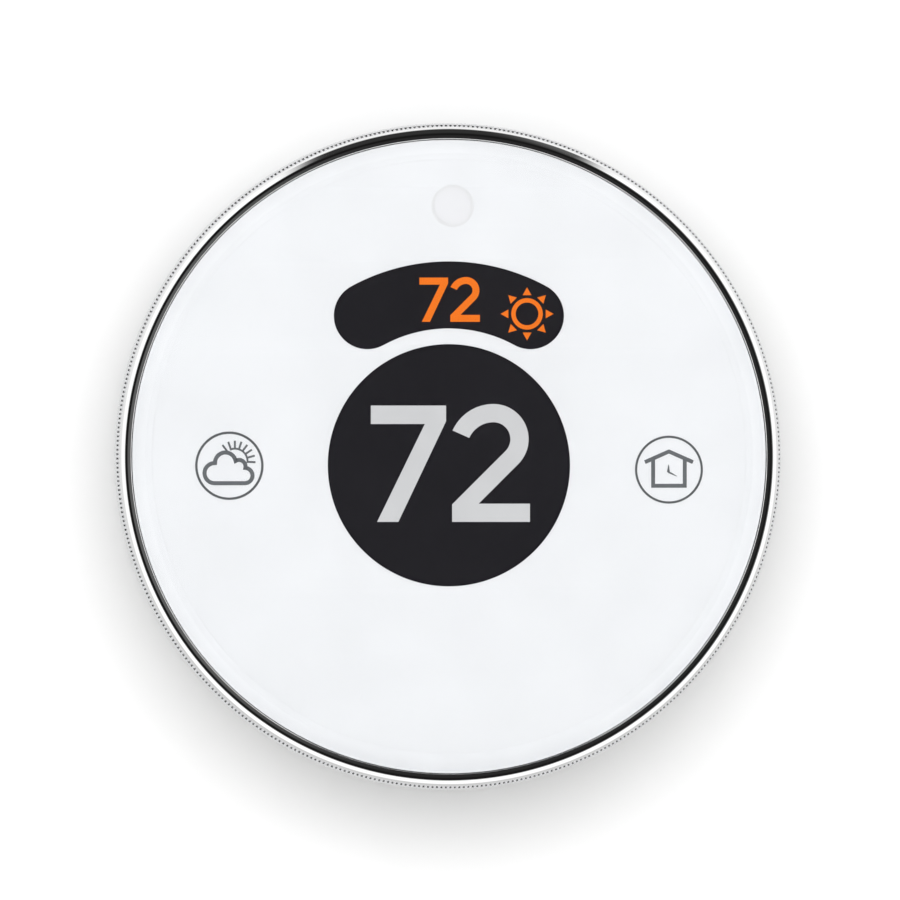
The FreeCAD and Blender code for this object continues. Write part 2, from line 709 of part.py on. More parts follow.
def battery_bay():
    """An open box, bonded into the rear cover's floor, with the lugs that carry the door's pin."""
    gaps = [box(-BAY_IN_X, BAY_IN_X, BAY_IN_Y0, BAY_IN_Y1, BAY_Z0 - 1, BAY_IN_Z1)]
    gaps.append(rod_x(PIN_R + RUNNING, -BAY_IN_X, BAY_IN_X, PIN_Y, PIN_Z))
    return cut(join([bay_block(BAY_Z0, BAY_OUT_Z1)] + bay_lugs()), gaps)


def rear_cover():
    supports = [disc(BOSS_R, FLOOR_Z1 - 0.5, BOARD_Z0, x, y) for x, y in SCREW_XYS]
    pegs = [disc(PEG_R, PLATE_T + 1.2, FLOOR_Z0 + 0.5, s * LATCH_X, LATCH_Y) for s in (RIGHT, LEFT)]
    whole = join([cover_shell()] + supports + pegs)
    gaps = [bay_block(BAY_Z0, BAY_OUT_Z1)]
    gaps += [disc(SCREW_R + SLIP, FLOOR_Z0 - 1, BOARD_Z0 + 1, x, y) for x, y in SCREW_XYS]
    gaps.append(disc(0.8 + RUNNING, FLOOR_Z1 - 0.8, FLOOR_Z1 + 1, ENCODER_X, ENCODER_Y))
    slot = (BLADE_T + 2 * SLIP, BLADE_W + 2 * SLIP, FLOOR_Z0 - 1, FLOOR_Z1 + 1)
    for side in (RIGHT, LEFT):
        gaps += [centred_box(side * BLADE_X, y, *slot) for y in TERMINAL_YS]
    return cut(whole, gaps + vent_slots())


def housing_screws():
    screws = []
    for x, y in SCREW_XYS:
        head = disc(SCREW_HEAD_R, FLOOR_Z0 - SCREW_HEAD_H, FLOOR_Z0, x, y)
        shank = disc(SCREW_R, FLOOR_Z0, WEB_Z0 - 2.3, x, y)
        slots = [centred_box(x, y, 2.6, 0.6, FLOOR_Z0 - 2, FLOOR_Z0 - 0.7)]
        slots.append(centred_box(x, y, 0.6, 2.6, FLOOR_Z0 - 2, FLOOR_Z0 - 0.7))
        screws.append(cut(head.fuse(shank).removeSplitter(), slots))
    return Part.makeCompound(screws)


def battery():
    body_end = BATTERY_L / 2 - NUB_L
    body = rod_x(BATTERY_R, -BATTERY_L / 2, body_end, BATTERY_Y, BATTERY_Z)
    groove = rod_x(BATTERY_R + 1, body_end - 2.2, body_end - 1.6, BATTERY_Y, BATTERY_Z)
    groove = groove.cut(rod_x(BATTERY_R - 0.3, body_end - 3, body_end, BATTERY_Y, BATTERY_Z))
    nub = rod_x(NUB_R, body_end, BATTERY_L / 2, BATTERY_Y, BATTERY_Z)
    return join([body.cut(groove), nub])


def battery_contact():
    """A bent leaf that the cell's button presses on."""
    x0 = BATTERY_L / 2 + 0.05
    x1 = BAY_IN_X
    return side_profile([
        (x1, BATTERY_Z - 5, 0),
        (x1, BATTERY_Z + 5, 0),
        (x1 - 0.4, BATTERY_Z + 5, 0),
        (x1 - 0.4, BATTERY_Z - 4, 0),
        (x0 + 0.4, BATTERY_Z - 1, 0),
        (x0 + 0.4, BATTERY_Z + 3, 0),
        (x0, BATTERY_Z + 3, 0),
        (x0, BATTERY_Z - 1.2, 0),
        (x1 - 0.9, BATTERY_Z - 5, 0),
    ], BATTERY_Y - 3, BATTERY_Y + 3)


def battery_spring():
    """A bowed leaf with two fingers, which pushes the cell's flat end."""
    base = -BAY_IN_X
    front = -BATTERY_L / 2 - 0.05
    sheet = 0.3
    half = 4.5
    plate = box(base, base + sheet, BATTERY_Y - half, BATTERY_Y + half, BATTERY_Z - 6.5, BATTERY_Z + 6.5)
    bow = side_profile([
        (base + sheet - 0.1, BATTERY_Z - 5.4, 0),
        (front, BATTERY_Z - 2.2, 1.2),
        (front, BATTERY_Z + 2.2, 1.2),
        (base + sheet + 0.5, BATTERY_Z + 5.4, 0),
        (base + sheet + 0.5, BATTERY_Z + 5.0, 0),
        (front - sheet, BATTERY_Z + 2.05, 1.0),
        (front - sheet, BATTERY_Z - 2.05, 1.0),
        (base + sheet - 0.1, BATTERY_Z - 4.9, 0),
    ], BATTERY_Y - half, BATTERY_Y + half)
    slit = box(base + sheet, 0, BATTERY_Y - 0.8, BATTERY_Y + 0.8, BATTERY_Z - 4.6, BATTERY_Z + 7)
    return join([plate, bow.cut(slit)])


def battery_door():
    half = BAY_OUT_X - 0.1
    y0 = PIN_Y + DOOR_EDGE
    y1 = BAY_OUT_Y1 - 0.1
    panel = rounded_box(-half, half, y0, y1, DOOR_Z0, DOOR_Z1, 1.0)
    rib = rounded_box(-BAY_IN_X + SLIP, BAY_IN_X - SLIP, BAY_IN_Y1 - 1.0, BAY_IN_Y1 - SLIP,
                      DOOR_Z1 - 0.2, DOOR_Z1 + 0.25, 0.3)
    whole = [panel, rib]
    for x0, x1 in ((-11.5, -6.5), (6.5, 11.5)):
        whole.append(box(x0, x1, PIN_Y, y0 + 0.5, DOOR_Z0, DOOR_Z1))
        whole.append(rod_x(KNUCKLE_R, x0, x1, PIN_Y, PIN_Z))
    bore = rod_x(PIN_R + RUNNING, -BAY_IN_X, BAY_IN_X, PIN_Y, PIN_Z)
    finger = Part.makeCylinder(6.0, 2 * DOOR_T, Vector(0, y1 + 3.6, DOOR_Z0 - DOOR_T * 1.6))
    grooves = [box(-5 + i, -4.6 + i, y1 - 7, y1 - 3.2, DOOR_Z0 - 1, DOOR_Z0 + 0.3) for i in range(0, 10, 1)]
    return cut(join(whole), [bore, finger] + grooves)


def door_pin():
    return rod_x(PIN_R, -17.2, 17.2, PIN_Y, PIN_Z)


# Contacts from the head into the wall plate.

def contact_blades(side):
    blades = []
    for y in TERMINAL_YS:
        foot = centred_box(BLADE_X, y, BLADE_T + 1.6, BLADE_W, BOARD_Z0 - 0.4, BOARD_Z0)
        x0 = BLADE_X - BLADE_T / 2
        x1 = BLADE_X + BLADE_T / 2
        tip = PLATE_T + 2.2
        stem = side_profile([
            (x0, BOARD_Z0 - 0.4, 0), (x1, BOARD_Z0 - 0.4, 0), (x1, tip + 0.8, 0),
            (BLADE_X + 0.1, tip, 0), (BLADE_X - 0.1, tip, 0), (x0, tip + 0.8, 0),
        ], y - BLADE_W / 2, y + BLADE_W / 2)
        blades.append(mirrored(join([foot, stem]), side))
    return Part.makeCompound(blades)


def blade_headers():
    headers = []
    for side in (RIGHT, LEFT):
        bar = box(BLADE_X - 1.5, BLADE_X + 1.5, BLOCK_Y0 + 1, BLOCK_Y1 - 1, FLOOR_Z1, BOARD_Z0 - 0.4)
        slot = (BLADE_T + 2 * RUNNING, BLADE_W + 2 * RUNNING, FLOOR_Z1 - 1, BOARD_Z0)
        slots = [centred_box(BLADE_X, y, *slot) for y in TERMINAL_YS]
        headers.append(mirrored(cut(bar, slots), side))
    return Part.makeCompound(headers)


# Wall plate.

def vial_cradle():
    z0 = PLATE_T - 0.5
    centre_z = PLATE_T + VIAL_R + 0.4
    seats = []
    for side in (RIGHT, LEFT):
        x = side * (VIAL_L / 2 - 2.0)
        seat = centred_box(x, VIAL_Y, 1.6, 2 * VIAL_R + 2.4, z0, centre_z + 0.8)
        seats.append(seat.cut(rod_x(VIAL_R + RUNNING, x - 1, x + 1, VIAL_Y, centre_z)))
    return seats


def link_rails():
    x0 = LINK_X - LINK_L / 2 - 1.2
    x1 = LINK_X + LINK_L / 2 + LINK_TRAVEL + 0.9
    y0 = LINK_Y - LINK_W / 2 - SLIP - 1.0
    y1 = LINK_Y + LINK_W / 2 + SLIP + 1.0
    outer = box(x0 - 1.0, x1, y0, y1, PLATE_T - 0.5, PLATE_T + 2.4)
    inner = box(x0, x1 - 0.8, y0 + 1.0, y1 - 1.0, PLATE_T - 1, PLATE_T + 3)
    return outer.cut(inner)


def latch_holders():
    holders = []
    gap = PEG_R + TURN_GAP + LATCH_SPRING_T
    for side in (RIGHT, LEFT):
        x = side * LATCH_X
        wall = rounded_box(x - gap - 1.2, x + gap + 1.2, LATCH_Y - 2.6, LATCH_Y + 4.0,
                           PLATE_T - 0.5, PLATE_T + 2.6, 0.8)
        hollow = box(x - gap, x + gap, LATCH_Y - 4, LATCH_Y + 2.8, PLATE_T, PLATE_T + 3)
        holders.append(wall.cut(hollow))
    return holders


def wall_plate():
    rim_z = PLATE_T + PLATE_RIM_H
    bevel = 0.3
    shell = turn([
        (0, 0, 0),
        (PLATE_R - bevel, 0, 0),
        (PLATE_R, bevel, 0),
        (PLATE_R, rim_z - bevel, 0),
        (PLATE_R - bevel, rim_z, 0),
        (PLATE_R - PLATE_RIM_T + bevel, rim_z, 0),
        (PLATE_R - PLATE_RIM_T, rim_z - bevel, 0),
        (PLATE_R - PLATE_RIM_T, PLATE_T, 0),
        (0, PLATE_T, 0),
    ])
    lip = rounded_box(-OPENING_X - LIP_T, OPENING_X + LIP_T, OPENING_Y0 - LIP_T, OPENING_Y1 + LIP_T,
                      PLATE_T - 0.5, PLATE_T + LIP_H, OPENING_ROUND + LIP_T)
    whole = join([shell, lip, link_rails()] + vial_cradle() + latch_holders())
    lip_z = PLATE_T + LIP_H
    gaps = [rounded_box(-OPENING_X, OPENING_X, OPENING_Y0, OPENING_Y1, -1, lip_z + 1, OPENING_ROUND)]
    gaps.append(box(-NOTCH_X, NOTCH_X, -PLATE_R - 1, NOTCH_Y, -1, rim_z + 1))
    for x in (HOLE_X, -HOLE_X):
        for y in (HOLE_Y, -HOLE_Y):
            gaps.append(disc(HOLE_R, -1, PLATE_T + 1, x, y))
            gaps.append(disc(SCREW_SEAT_R, PLATE_T - SCREW_SEAT_DEPTH, PLATE_T + 1, x, y))
    return cut(whole, gaps)


def terminal_block(side):
    block = rounded_box(BLOCK_X0, BLOCK_X1, BLOCK_Y0, BLOCK_Y1, PLATE_T, BLOCK_Z1, 0.6)
    tab_low = BLOCK_Z1 + TAB_PROUD - TAB_H - TAB_TRAVEL
    floor = PLATE_T + 0.8
    half = TAB_W / 2 + SLIP
    socket_w = BLADE_T + 2 * BLADE_SOCKET_GAP
    socket_h = BLADE_W + 2 * BLADE_SOCKET_GAP
    gaps = []
    for y in TERMINAL_YS:
        gaps.append(box(TAB_X0 - SLIP, TAB_X1 + SLIP, y - half, y + half, tab_low - 0.3, BLOCK_Z1 + 1))
        gaps.append(box(CHAMBER_X0, CHAMBER_X1, y - half, y + half, floor, tab_low - 0.2))
        gaps.append(rod_x(WIRE_R, BLOCK_X0 - 1, CHAMBER_X0 + 1, y, WIRE_Z))
        gaps.append(Part.makeCone(WIRE_R + 0.6, WIRE_R, 0.9, Vector(BLOCK_X0, y, WIRE_Z), Vector(1, 0, 0)))
        gaps.append(centred_box(BLADE_X, y, socket_w, socket_h, floor + 0.8, BLOCK_Z1 + 1))
        gaps.append(box(CHAMBER_X1 - 1, BLADE_X + 0.4, y - 1.2, y + 1.2, floor, floor + 0.9))
    return mirrored(cut(block, gaps), side)


def terminal_contacts(side):
    """One bent brass clamp under each tab, with a strip to the blade's socket."""
    z0 = PLATE_T + 0.9
    top = BLOCK_Z1 + TAB_PROUD - TAB_H - TAB_TRAVEL - 0.3
    x1 = CHAMBER_X1 - 0.2
    clamps = []
    for y in TERMINAL_YS:
        strip = box(CHAMBER_X0 + 0.3, BLADE_X + 0.2, y - 1.0, y + 1.0, z0, z0 + STRIP_T)
        riser = box(x1 - STRIP_T, x1, y - 1.6, y + 1.6, z0, top)
        leaf = side_profile([
            (x1, top - STRIP_T, 0), (x1, top, 0), (x1 - 1.0, top, 0),
            (CHAMBER_X0 + 1.6, z0 + 1.3, 0), (CHAMBER_X0 + 1.8, z0 + 1.0, 0), (x1 - 0.8, top - STRIP_T, 0),
        ], y - 1.6, y + 1.6)
        clamps.append(mirrored(join([strip, riser, leaf]), side))
    return Part.makeCompound(clamps)


def push_tab(side, y):
    z1 = BLOCK_Z1 + TAB_PROUD
    body = rounded_box(TAB_X0, TAB_X1, y - TAB_W / 2, y + TAB_W / 2, z1 - TAB_H, z1, 0.4)
    dimple = Part.makeSphere(6.0, Vector((TAB_X0 + TAB_X1) / 2, y, z1 + 5.7))
    return mirrored(body.cut(dimple), side)


def level_vial():
    centre_z = PLATE_T + VIAL_R + 0.4
    shell = rod_x(VIAL_R, -VIAL_L / 2, VIAL_L / 2, VIAL_Y, centre_z)
    bore = rod_x(VIAL_R - VIAL_WALL, -VIAL_L / 2 + 1.0, VIAL_L / 2 - 1.0, VIAL_Y, centre_z)
    bands = []
    for side in (RIGHT, LEFT):
        band = rod_x(VIAL_R + 0.1, side * 2.4 - 0.2, side * 2.4 + 0.2, VIAL_Y, centre_z)
        bands.append(band.cut(rod_x(VIAL_R - 0.1, side * 2.4 - 1, side * 2.4 + 1, VIAL_Y, centre_z)))
    return join([shell] + bands).cut(bore)


def level_liquid():
    centre_z = PLATE_T + VIAL_R + 0.4
    radius = VIAL_R - VIAL_WALL - 0.02
    fill = rod_x(radius, -VIAL_L / 2 + 1.02, VIAL_L / 2 - 1.02, VIAL_Y, centre_z)
    bubble = Part.makeSphere(1.0)
    stretch = FreeCAD.Matrix(1.9, 0, 0, 0, 0, 1.1, 0, VIAL_Y + radius - 0.75, 0, 0, 1.2, centre_z)
    return fill.cut(bubble.transformGeometry(stretch))


def link_slider():
    z0 = PLATE_T + 0.8
    body = rounded_box(LINK_X - LINK_L / 2, LINK_X + LINK_L / 2, LINK_Y - LINK_W / 2, LINK_Y + LINK_W / 2,
                       z0, z0 + LINK_H, 0.4)
    grip = box(LINK_X - 0.6, LINK_X + 0.6, LINK_Y - LINK_W / 2, LINK_Y + LINK_W / 2,
               z0 + LINK_H - 0.2, z0 + LINK_H + 0.9)
    grooves = []
    for x in (-2.2, -1.4, 1.4, 2.2):
        grooves.append(centred_box(LINK_X + x, LINK_Y, 0.3, 2 * LINK_W, z0 + LINK_H - 0.3, z0 + LINK_H + 1))
    return cut(join([body, grip]), grooves)


def link_contact():
    x0 = LINK_X - LINK_L / 2 - 0.6
    x1 = LINK_X + LINK_L / 2 + LINK_TRAVEL - 0.4
    strips = [box(x0, x1, LINK_Y + s - 0.5, LINK_Y + s + 0.5, PLATE_T, PLATE_T + 0.4) for s in (-1.1, 1.1)]
    return Part.makeCompound(strips)


def latch_springs():
    springs = []
    inner = PEG_R + TURN_GAP
    outer = inner + LATCH_SPRING_T
    for side in (RIGHT, LEFT):
        x = side * LATCH_X
        y1 = LATCH_Y + 2.8
        clip = extrude([
            (x - outer, LATCH_Y - 3.0, 0), (x - outer, y1, 0.9), (x + outer, y1, 0.9),
            (x + outer, LATCH_Y - 3.0, 0), (x + inner, LATCH_Y - 3.0, 0),
            (x + inner, y1 - LATCH_SPRING_T, 0.5), (x - inner, y1 - LATCH_SPRING_T, 0.5),
            (x - inner, LATCH_Y - 3.0, 0),
        ], PLATE_T, PLATE_T + LATCH_SPRING_H)
        springs.append(clip)
    return Part.makeCompound(springs)


def build_face():
    add("face_lens", face_lens())
    add("face_mask", face_mask())
    add("touch_film", touch_film())
    add("motion_lens", motion_lens())
    add("lcd_panel", lcd_panel())
    add("backlight_guide", backlight_guide())
    add("display_frame", display_frame())
    add("display_ribbon", display_ribbon())


def build_ring():
    add("chrome_trim", chrome_trim())
    add("grip_ring", grip_ring())
    add("gear_ring", gear_ring())
    add("encoder_pinion", encoder_pinion())
    add("encoder_body", encoder_body())
    add("front_housing", front_housing())
    add("glide_ring", glide_ring())


def build_electronics():
    add("main_board", main_board())
    add("processor", processor())
    add("radio_module", radio_module())
    add("output_relays", output_relays())
    add("sounder", sounder())
    add("motion_sensor", motion_sensor())
    add("climate_sensor", climate_sensor())
    add("backup_capacitor", backup_capacitor())
    add("power_inductor", power_inductor())
    add("blade_headers", blade_headers())
    add("contact_blades_left", contact_blades(LEFT))
    add("contact_blades_right", contact_blades(RIGHT))


def build_back():
    add("halo_light_ring", halo_light_ring())
    add("halo_leds", halo_leds())
    add("rear_cover", rear_cover())
    add("battery_bay", battery_bay())
    add("housing_screws", housing_screws())
    add("battery", battery())
    add("battery_contact", battery_contact())
    add("battery_spring", battery_spring())
    add("battery_door", battery_door())
    add("door_pin", door_pin())


def build_wall():
    add("wall_plate", wall_plate())
    add("level_vial", level_vial())
    add("level_liquid", level_liquid())
    add("link_slider", link_slider())
    add("link_contact", link_contact())
    add("latch_springs", latch_springs())
    for word, side in (("left", LEFT), ("right", RIGHT)):
        add("terminal_block_" + word, terminal_block(side))
        add("terminal_contacts_" + word, terminal_contacts(side))
        for i, y in enumerate(TERMINAL_YS):
            add(f"push_tab_{word}_{i + 1}", push_tab(side, y))


build_face()
build_ring()
build_electronics()
build_back()
build_wall()

os.makedirs("parts", exist_ok=True)
for name, shape in nodes.items():
    stand(shape).exportStep("parts/" + name + ".step")
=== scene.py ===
"""The looks of a round wall thermostat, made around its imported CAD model.

Sizes are millimetres until a mesh is made. A round piece's outline is a list of (radius, depth), and
a flat one's is a list of (across, up). Depth is the distance from the wall, so it runs along -y.
"""

import json
import math

import bmesh
import bpy
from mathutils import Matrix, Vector

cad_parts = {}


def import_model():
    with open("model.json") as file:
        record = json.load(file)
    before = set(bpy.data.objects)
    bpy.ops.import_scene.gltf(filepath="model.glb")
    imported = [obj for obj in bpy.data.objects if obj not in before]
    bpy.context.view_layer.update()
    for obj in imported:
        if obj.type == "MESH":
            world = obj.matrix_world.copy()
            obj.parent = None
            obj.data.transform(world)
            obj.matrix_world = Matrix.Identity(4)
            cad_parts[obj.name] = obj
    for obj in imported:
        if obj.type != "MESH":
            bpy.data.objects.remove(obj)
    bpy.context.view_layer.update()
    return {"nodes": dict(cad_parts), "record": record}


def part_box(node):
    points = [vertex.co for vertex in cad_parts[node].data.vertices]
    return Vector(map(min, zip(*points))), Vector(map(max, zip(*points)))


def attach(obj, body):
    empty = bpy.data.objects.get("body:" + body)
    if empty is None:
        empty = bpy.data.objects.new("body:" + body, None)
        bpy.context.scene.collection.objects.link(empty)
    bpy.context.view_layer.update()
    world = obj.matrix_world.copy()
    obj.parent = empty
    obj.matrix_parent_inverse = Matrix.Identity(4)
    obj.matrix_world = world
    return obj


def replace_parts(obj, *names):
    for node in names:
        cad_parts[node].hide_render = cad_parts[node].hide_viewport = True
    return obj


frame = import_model()

MM = 0.001
CLEAR = 0.02            # between two pieces that would otherwise share a face


def round_size(node):
    """Outer radius of a round CAD node, and the depths of its back and its front."""
    low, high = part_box(node)
    return max(high.x, high.z, -low.x, -low.z) / MM, -high.y / MM, -low.y / MM


LENS_R, LENS_BACK, LENS_FRONT = round_size("face_lens")
TRIM_R, TRIM_BACK, TRIM_FRONT = round_size("chrome_trim")
GRIP_R, GRIP_BACK, GRIP_FRONT = round_size("grip_ring")
HALO_R, HALO_BACK, HALO_FRONT = round_size("halo_light_ring")
MASK_R, MASK_BACK, MASK_FRONT = round_size("face_mask")
LCD_FRONT = -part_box("lcd_panel")[0].y / MM
SENSOR_LOW, SENSOR_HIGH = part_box("motion_lens")
SENSOR_X = (SENSOR_LOW.x + SENSOR_HIGH.x) / 2 / MM
SENSOR_Z = (SENSOR_LOW.z + SENSOR_HIGH.z) / 2 / MM
SENSOR_R = 2.5
SENSOR_RING_R = 2.62
SENSOR_TUCK = 0.07      # how far the mask's hole comes in over the sensor window's edge

# The face.
LENS_CROWN = 0.8
LENS_EDGE_ROUND = 0.35
RIM_W = 2.6             # the white layer turns up behind the window's ground edge
RIM_H = 1.05
DISPLAY_R = 16.0
DISPLAY_Z = -1.15
ARCH_R = 22.5           # middle of the arched window, about the display's centre
ARCH_HALF_WIDTH = 4.43
ARCH_END = 28.6         # degrees each side of the top
MASK_BEVEL = 0.02
PRINT_T = 0.03          # printed marks on the mask
PRINT_BACK = MASK_FRONT - 2 * CLEAR - 0.01
PRINT_LAYER = 0.005     # marks that cross end this far apart
LIT_T = 0.03            # lit marks on the display

# The bezel and the grip.
TRIM_IN_R = LENS_R + 0.1
TRIM_CREST_R = LENS_R + 0.6
BEZEL_DROP = 0.09       # the bevel beside the window, below the crest
BEZEL_ROUND = 1.0
RIB_COUNT = 464
RIB_DEPTH = 0.18
RIB_STEPS = 6           # points across each rib
RIB_SEAT = 0.02         # how far the ribs' crests lie below the smooth lips
RIB_SPANS = 6           # rows of faces along each rib
GRIP_REAR_ROUND = 0.3
REAR_LIP_H = 6.5
FRONT_LIP_H = 0.7
GRIP_INNER_R = GRIP_R - 2.1
SHOULDER_D = GRIP_FRONT - 1.95
LAND_R = GRIP_R - 3.38
LAND_BACK = round_size("main_board")[1]
GEAR_SEAT_R = GRIP_R - 3.3
FLANGE_SEAT_R = GRIP_R - 0.6
FLANGE_FRONT = HALO_FRONT + 1.5

# The halo ring.
HALO_INNER_R = HALO_R - 2.35
POCKET_DEPTH = 1.0
POCKET_COUNT = 8
POCKET_HALF_WIDTH = 1.2

# The digits, in mm on the large display.
DIGIT_STROKE = 2.41
SMALL_SCALE = 0.38
SMALL_CENTRE = (0.03, 21.08)
SUN_CENTRE = (10.33, 18.85)
SUN_RING_R = 1.79
SUN_RAY_BACK = 2.47
SUN_RAY_TIP = 3.5
SUN_LINE = 0.58
SUN_RAYS = 8

# The two printed marks, from the middle of each mark's ring. A lobe has a middle, a radius and two angles.
WEATHER_CENTRE = (-29.0, -1.21)
WEATHER_RING_R = 4.36
HOME_CENTRE = (29.07, -1.73)
HOME_RING_R = 4.34
ICON_LINE = 0.54
CLOUD_LOBES = [((-1.95, -0.98), 1.33, 270, 87), ((-0.52, 0.38), 1.37, 181, 10),
               ((1.29, -0.08), 0.84, 123, -15), ((2.05, -1.3), 1.01, 87, -90)]
LITTLE_SUN = (0.74, 0.59)
LITTLE_SUN_R = 1.66
LITTLE_RAYS = 8
LITTLE_RAY_START = 127.5
LITTLE_RAY_STEP = 18.6


# Meshes.

def keep(name, body, slot, shape, smooth=30):
    """Turns a bmesh into a piece of the object that rides on a body and takes its finish from a slot."""
    bmesh.ops.remove_doubles(shape, verts=shape.verts, dist=1e-7)
    bmesh.ops.recalc_face_normals(shape, faces=shape.faces)
    mesh = bpy.data.meshes.new(name)
    shape.to_mesh(mesh)
    shape.free()
    for polygon in mesh.polygons:
        polygon.use_smooth = True
    mesh.set_sharp_from_angle(angle=math.radians(smooth))
    piece = bpy.data.objects.new(name, mesh)
    bpy.context.scene.collection.objects.link(piece)
    piece.data.materials.append(FINISHES[slot])
    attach(piece, body)
    return piece


def rounded(corners, steps=8):
    """The outline through corners (a, b, radius), where a radius above 0 rounds that corner."""
    points = []
    for i, (a, b, radius) in enumerate(corners):
        here = Vector((a, b))
        if not radius:
            points.append((a, b))
            continue
        back = (Vector(corners[i - 1][:2]) - here).normalized()
        ahead = (Vector(corners[(i + 1) % len(corners)][:2]) - here).normalized()
        half = back.angle(ahead) / 2
        centre = here + (back + ahead).normalized() * (radius / math.sin(half))
        first = here + back * (radius / math.tan(half)) - centre
        last = here + ahead * (radius / math.tan(half)) - centre
        start = math.atan2(first.y, first.x)
        sweep = (math.atan2(last.y, last.x) - start + math.pi) % math.tau - math.pi
        for k in range(steps + 1):
            angle = start + sweep * k / steps
            points.append((centre.x + radius * math.cos(angle), centre.y + radius * math.sin(angle)))
    return points


def turned(section, steps):
    """A solid turned about the y axis. section(i) is its closed outline of (radius, depth) at step i."""
    shape = bmesh.new()
    rows = []
    for i in range(steps):
        x = math.cos(math.tau * i / steps) * MM
        z = math.sin(math.tau * i / steps) * MM
        rows.append([shape.verts.new((r * x, -d * MM, r * z)) for r, d in section(i)])
    for i in range(steps):
        here = rows[i]
        following = rows[(i + 1) % steps]
        for j in range(len(here)):
            k = (j + 1) % len(here)
            shape.faces.new((here[j], following[j], following[k], here[k]))
    return shape


def plate(shape, points, back, front):
    """Adds a flat solid with this closed outline of (across, up), between two depths."""
    low = [shape.verts.new((x * MM, -back * MM, z * MM)) for x, z in points]
    high = [shape.verts.new((x * MM, -front * MM, z * MM)) for x, z in points]
    shape.faces.new(low)
    shape.faces.new(high[::-1])
    for i in range(len(points)):
        k = (i + 1) % len(points)
        shape.faces.new((low[i], high[i], high[k], low[k]))


def arc(centre, radius, start, end, steps=24):
    """Points on an arc, by its start and end in degrees."""
    points = []
    for i in range(steps + 1):
        angle = math.radians(start + (end - start) * i / steps)
        points.append((centre[0] + radius * math.cos(angle), centre[1] + radius * math.sin(angle)))
    return points


def moved(points, centre, scale=1.0):
    return [(centre[0] + scale * x, centre[1] + scale * z) for x, z in points]


def band(shape, path, width, back, front, closed=False):
    """Adds a flat line of one width along a path of (across, up), mitred at its corners."""
    count = len(path)
    rails = [[], [], [], []]
    for i, point in enumerate(path):
        here = Vector(point)
        before = Vector(path[i - 1 if i or closed else 0])
        after = Vector(path[(i + 1) % count if i < count - 1 or closed else i])
        back_way = (here - before).normalized()
        way = (after - here).normalized()
        along = (back_way + way).normalized()
        across = Vector((-along.y, along.x))
        lean = max(0.5, along.dot(way if way.length else back_way))
        for rail, side, depth in zip(rails, (1, -1, -1, 1), (back, back, front, front)):
            x, z = here + across * (side * width / 2 / lean)
            rail.append(shape.verts.new((x * MM, -depth * MM, z * MM)))
    for i in range(count if closed else count - 1):
        k = (i + 1) % count
        for rail, beside in zip(rails, rails[1:] + rails[:1]):
            shape.faces.new((rail[i], rail[k], beside[k], beside[i]))
    if not closed:
        shape.faces.new([rail[0] for rail in rails])
        shape.faces.new([rail[-1] for rail in rails[::-1]])


def hoop(shape, centre, radius, width, back, front, steps=128):
    band(shape, arc(centre, radius, 0, 360, steps)[:-1], width, back, front, True)


# Node materials.

class Finish:
    """A procedural material: one tree of nodes, in the object's own coordinates in metres."""

    def __init__(self, name):
        self.material = bpy.data.materials.new(name)
        self.material.use_nodes = True
        self.tree = self.material.node_tree
        self.tree.nodes.clear()
        self.out = self.add("ShaderNodeOutputMaterial")
        self.place = self.add("ShaderNodeTexCoord").outputs["Object"]

    def add(self, kind, **settings):
        made = self.tree.nodes.new(kind)
        for key, value in settings.items():
            setattr(made, key, value)
        return made

    def link(self, start, end):
        self.tree.links.new(start, end)

    def shader(self, kind, **sockets):
        made = self.add(kind)
        for name, value in sockets.items():
            made.inputs[name.replace("_", " ")].default_value = value
        return made

    def stretched(self, stretch):
        mapping = self.add("ShaderNodeMapping")
        mapping.inputs["Scale"].default_value = stretch
        self.link(self.place, mapping.inputs["Vector"])
        return mapping.outputs["Vector"]

    def noise(self, size, detail=3.0, stretch=None):
        """Noise with features of about this size in mm."""
        made = self.add("ShaderNodeTexNoise")
        made.inputs["Scale"].default_value = 1 / (size * MM)
        made.inputs["Detail"].default_value = detail
        self.link(self.stretched(stretch) if stretch else self.place, made.inputs["Vector"])
        return made.outputs["Fac"]

    def cells(self, size):
        """Distance from the middle of cells of about this size in mm."""
        made = self.add("ShaderNodeTexVoronoi")
        made.inputs["Scale"].default_value = 1 / (size * MM)
        self.link(self.place, made.inputs["Vector"])
        return made.outputs["Distance"]

    def between(self, value, low, high, start=0.35, end=0.65):
        """Maps a value from start...end to low...high."""
        made = self.add("ShaderNodeMapRange")
        made.inputs["From Min"].default_value = start
        made.inputs["From Max"].default_value = end
        made.inputs["To Min"].default_value = low
        made.inputs["To Max"].default_value = high
        self.link(value, made.inputs["Value"])
        return made.outputs["Result"]

    def blend(self, value, first, second, start=0.35, end=0.65):
        """A colour that goes from first to second as the value goes from start to end."""
        ramp = self.add("ShaderNodeValToRGB")
        ramp.color_ramp.elements[0].position = start
        ramp.color_ramp.elements[1].position = end
        ramp.color_ramp.elements[0].color = (*first, 1)
        ramp.color_ramp.elements[1].color = (*second, 1)
        self.link(value, ramp.inputs["Fac"])
        return ramp.outputs["Color"]

    def bump(self, value, height):
        """A bump of this height in mm."""
        made = self.add("ShaderNodeBump")
        made.inputs["Distance"].default_value = height * MM
        self.link(value, made.inputs["Height"])
        return made.outputs["Normal"]

    def done(self, shader):
        self.link(shader.outputs[0], self.out.inputs["Surface"])
        return self.material


def tones(colour, spread):
    return [tuple(min(1.0, c * (1 + k * spread)) for c in colour) for k in (-1, 1)]


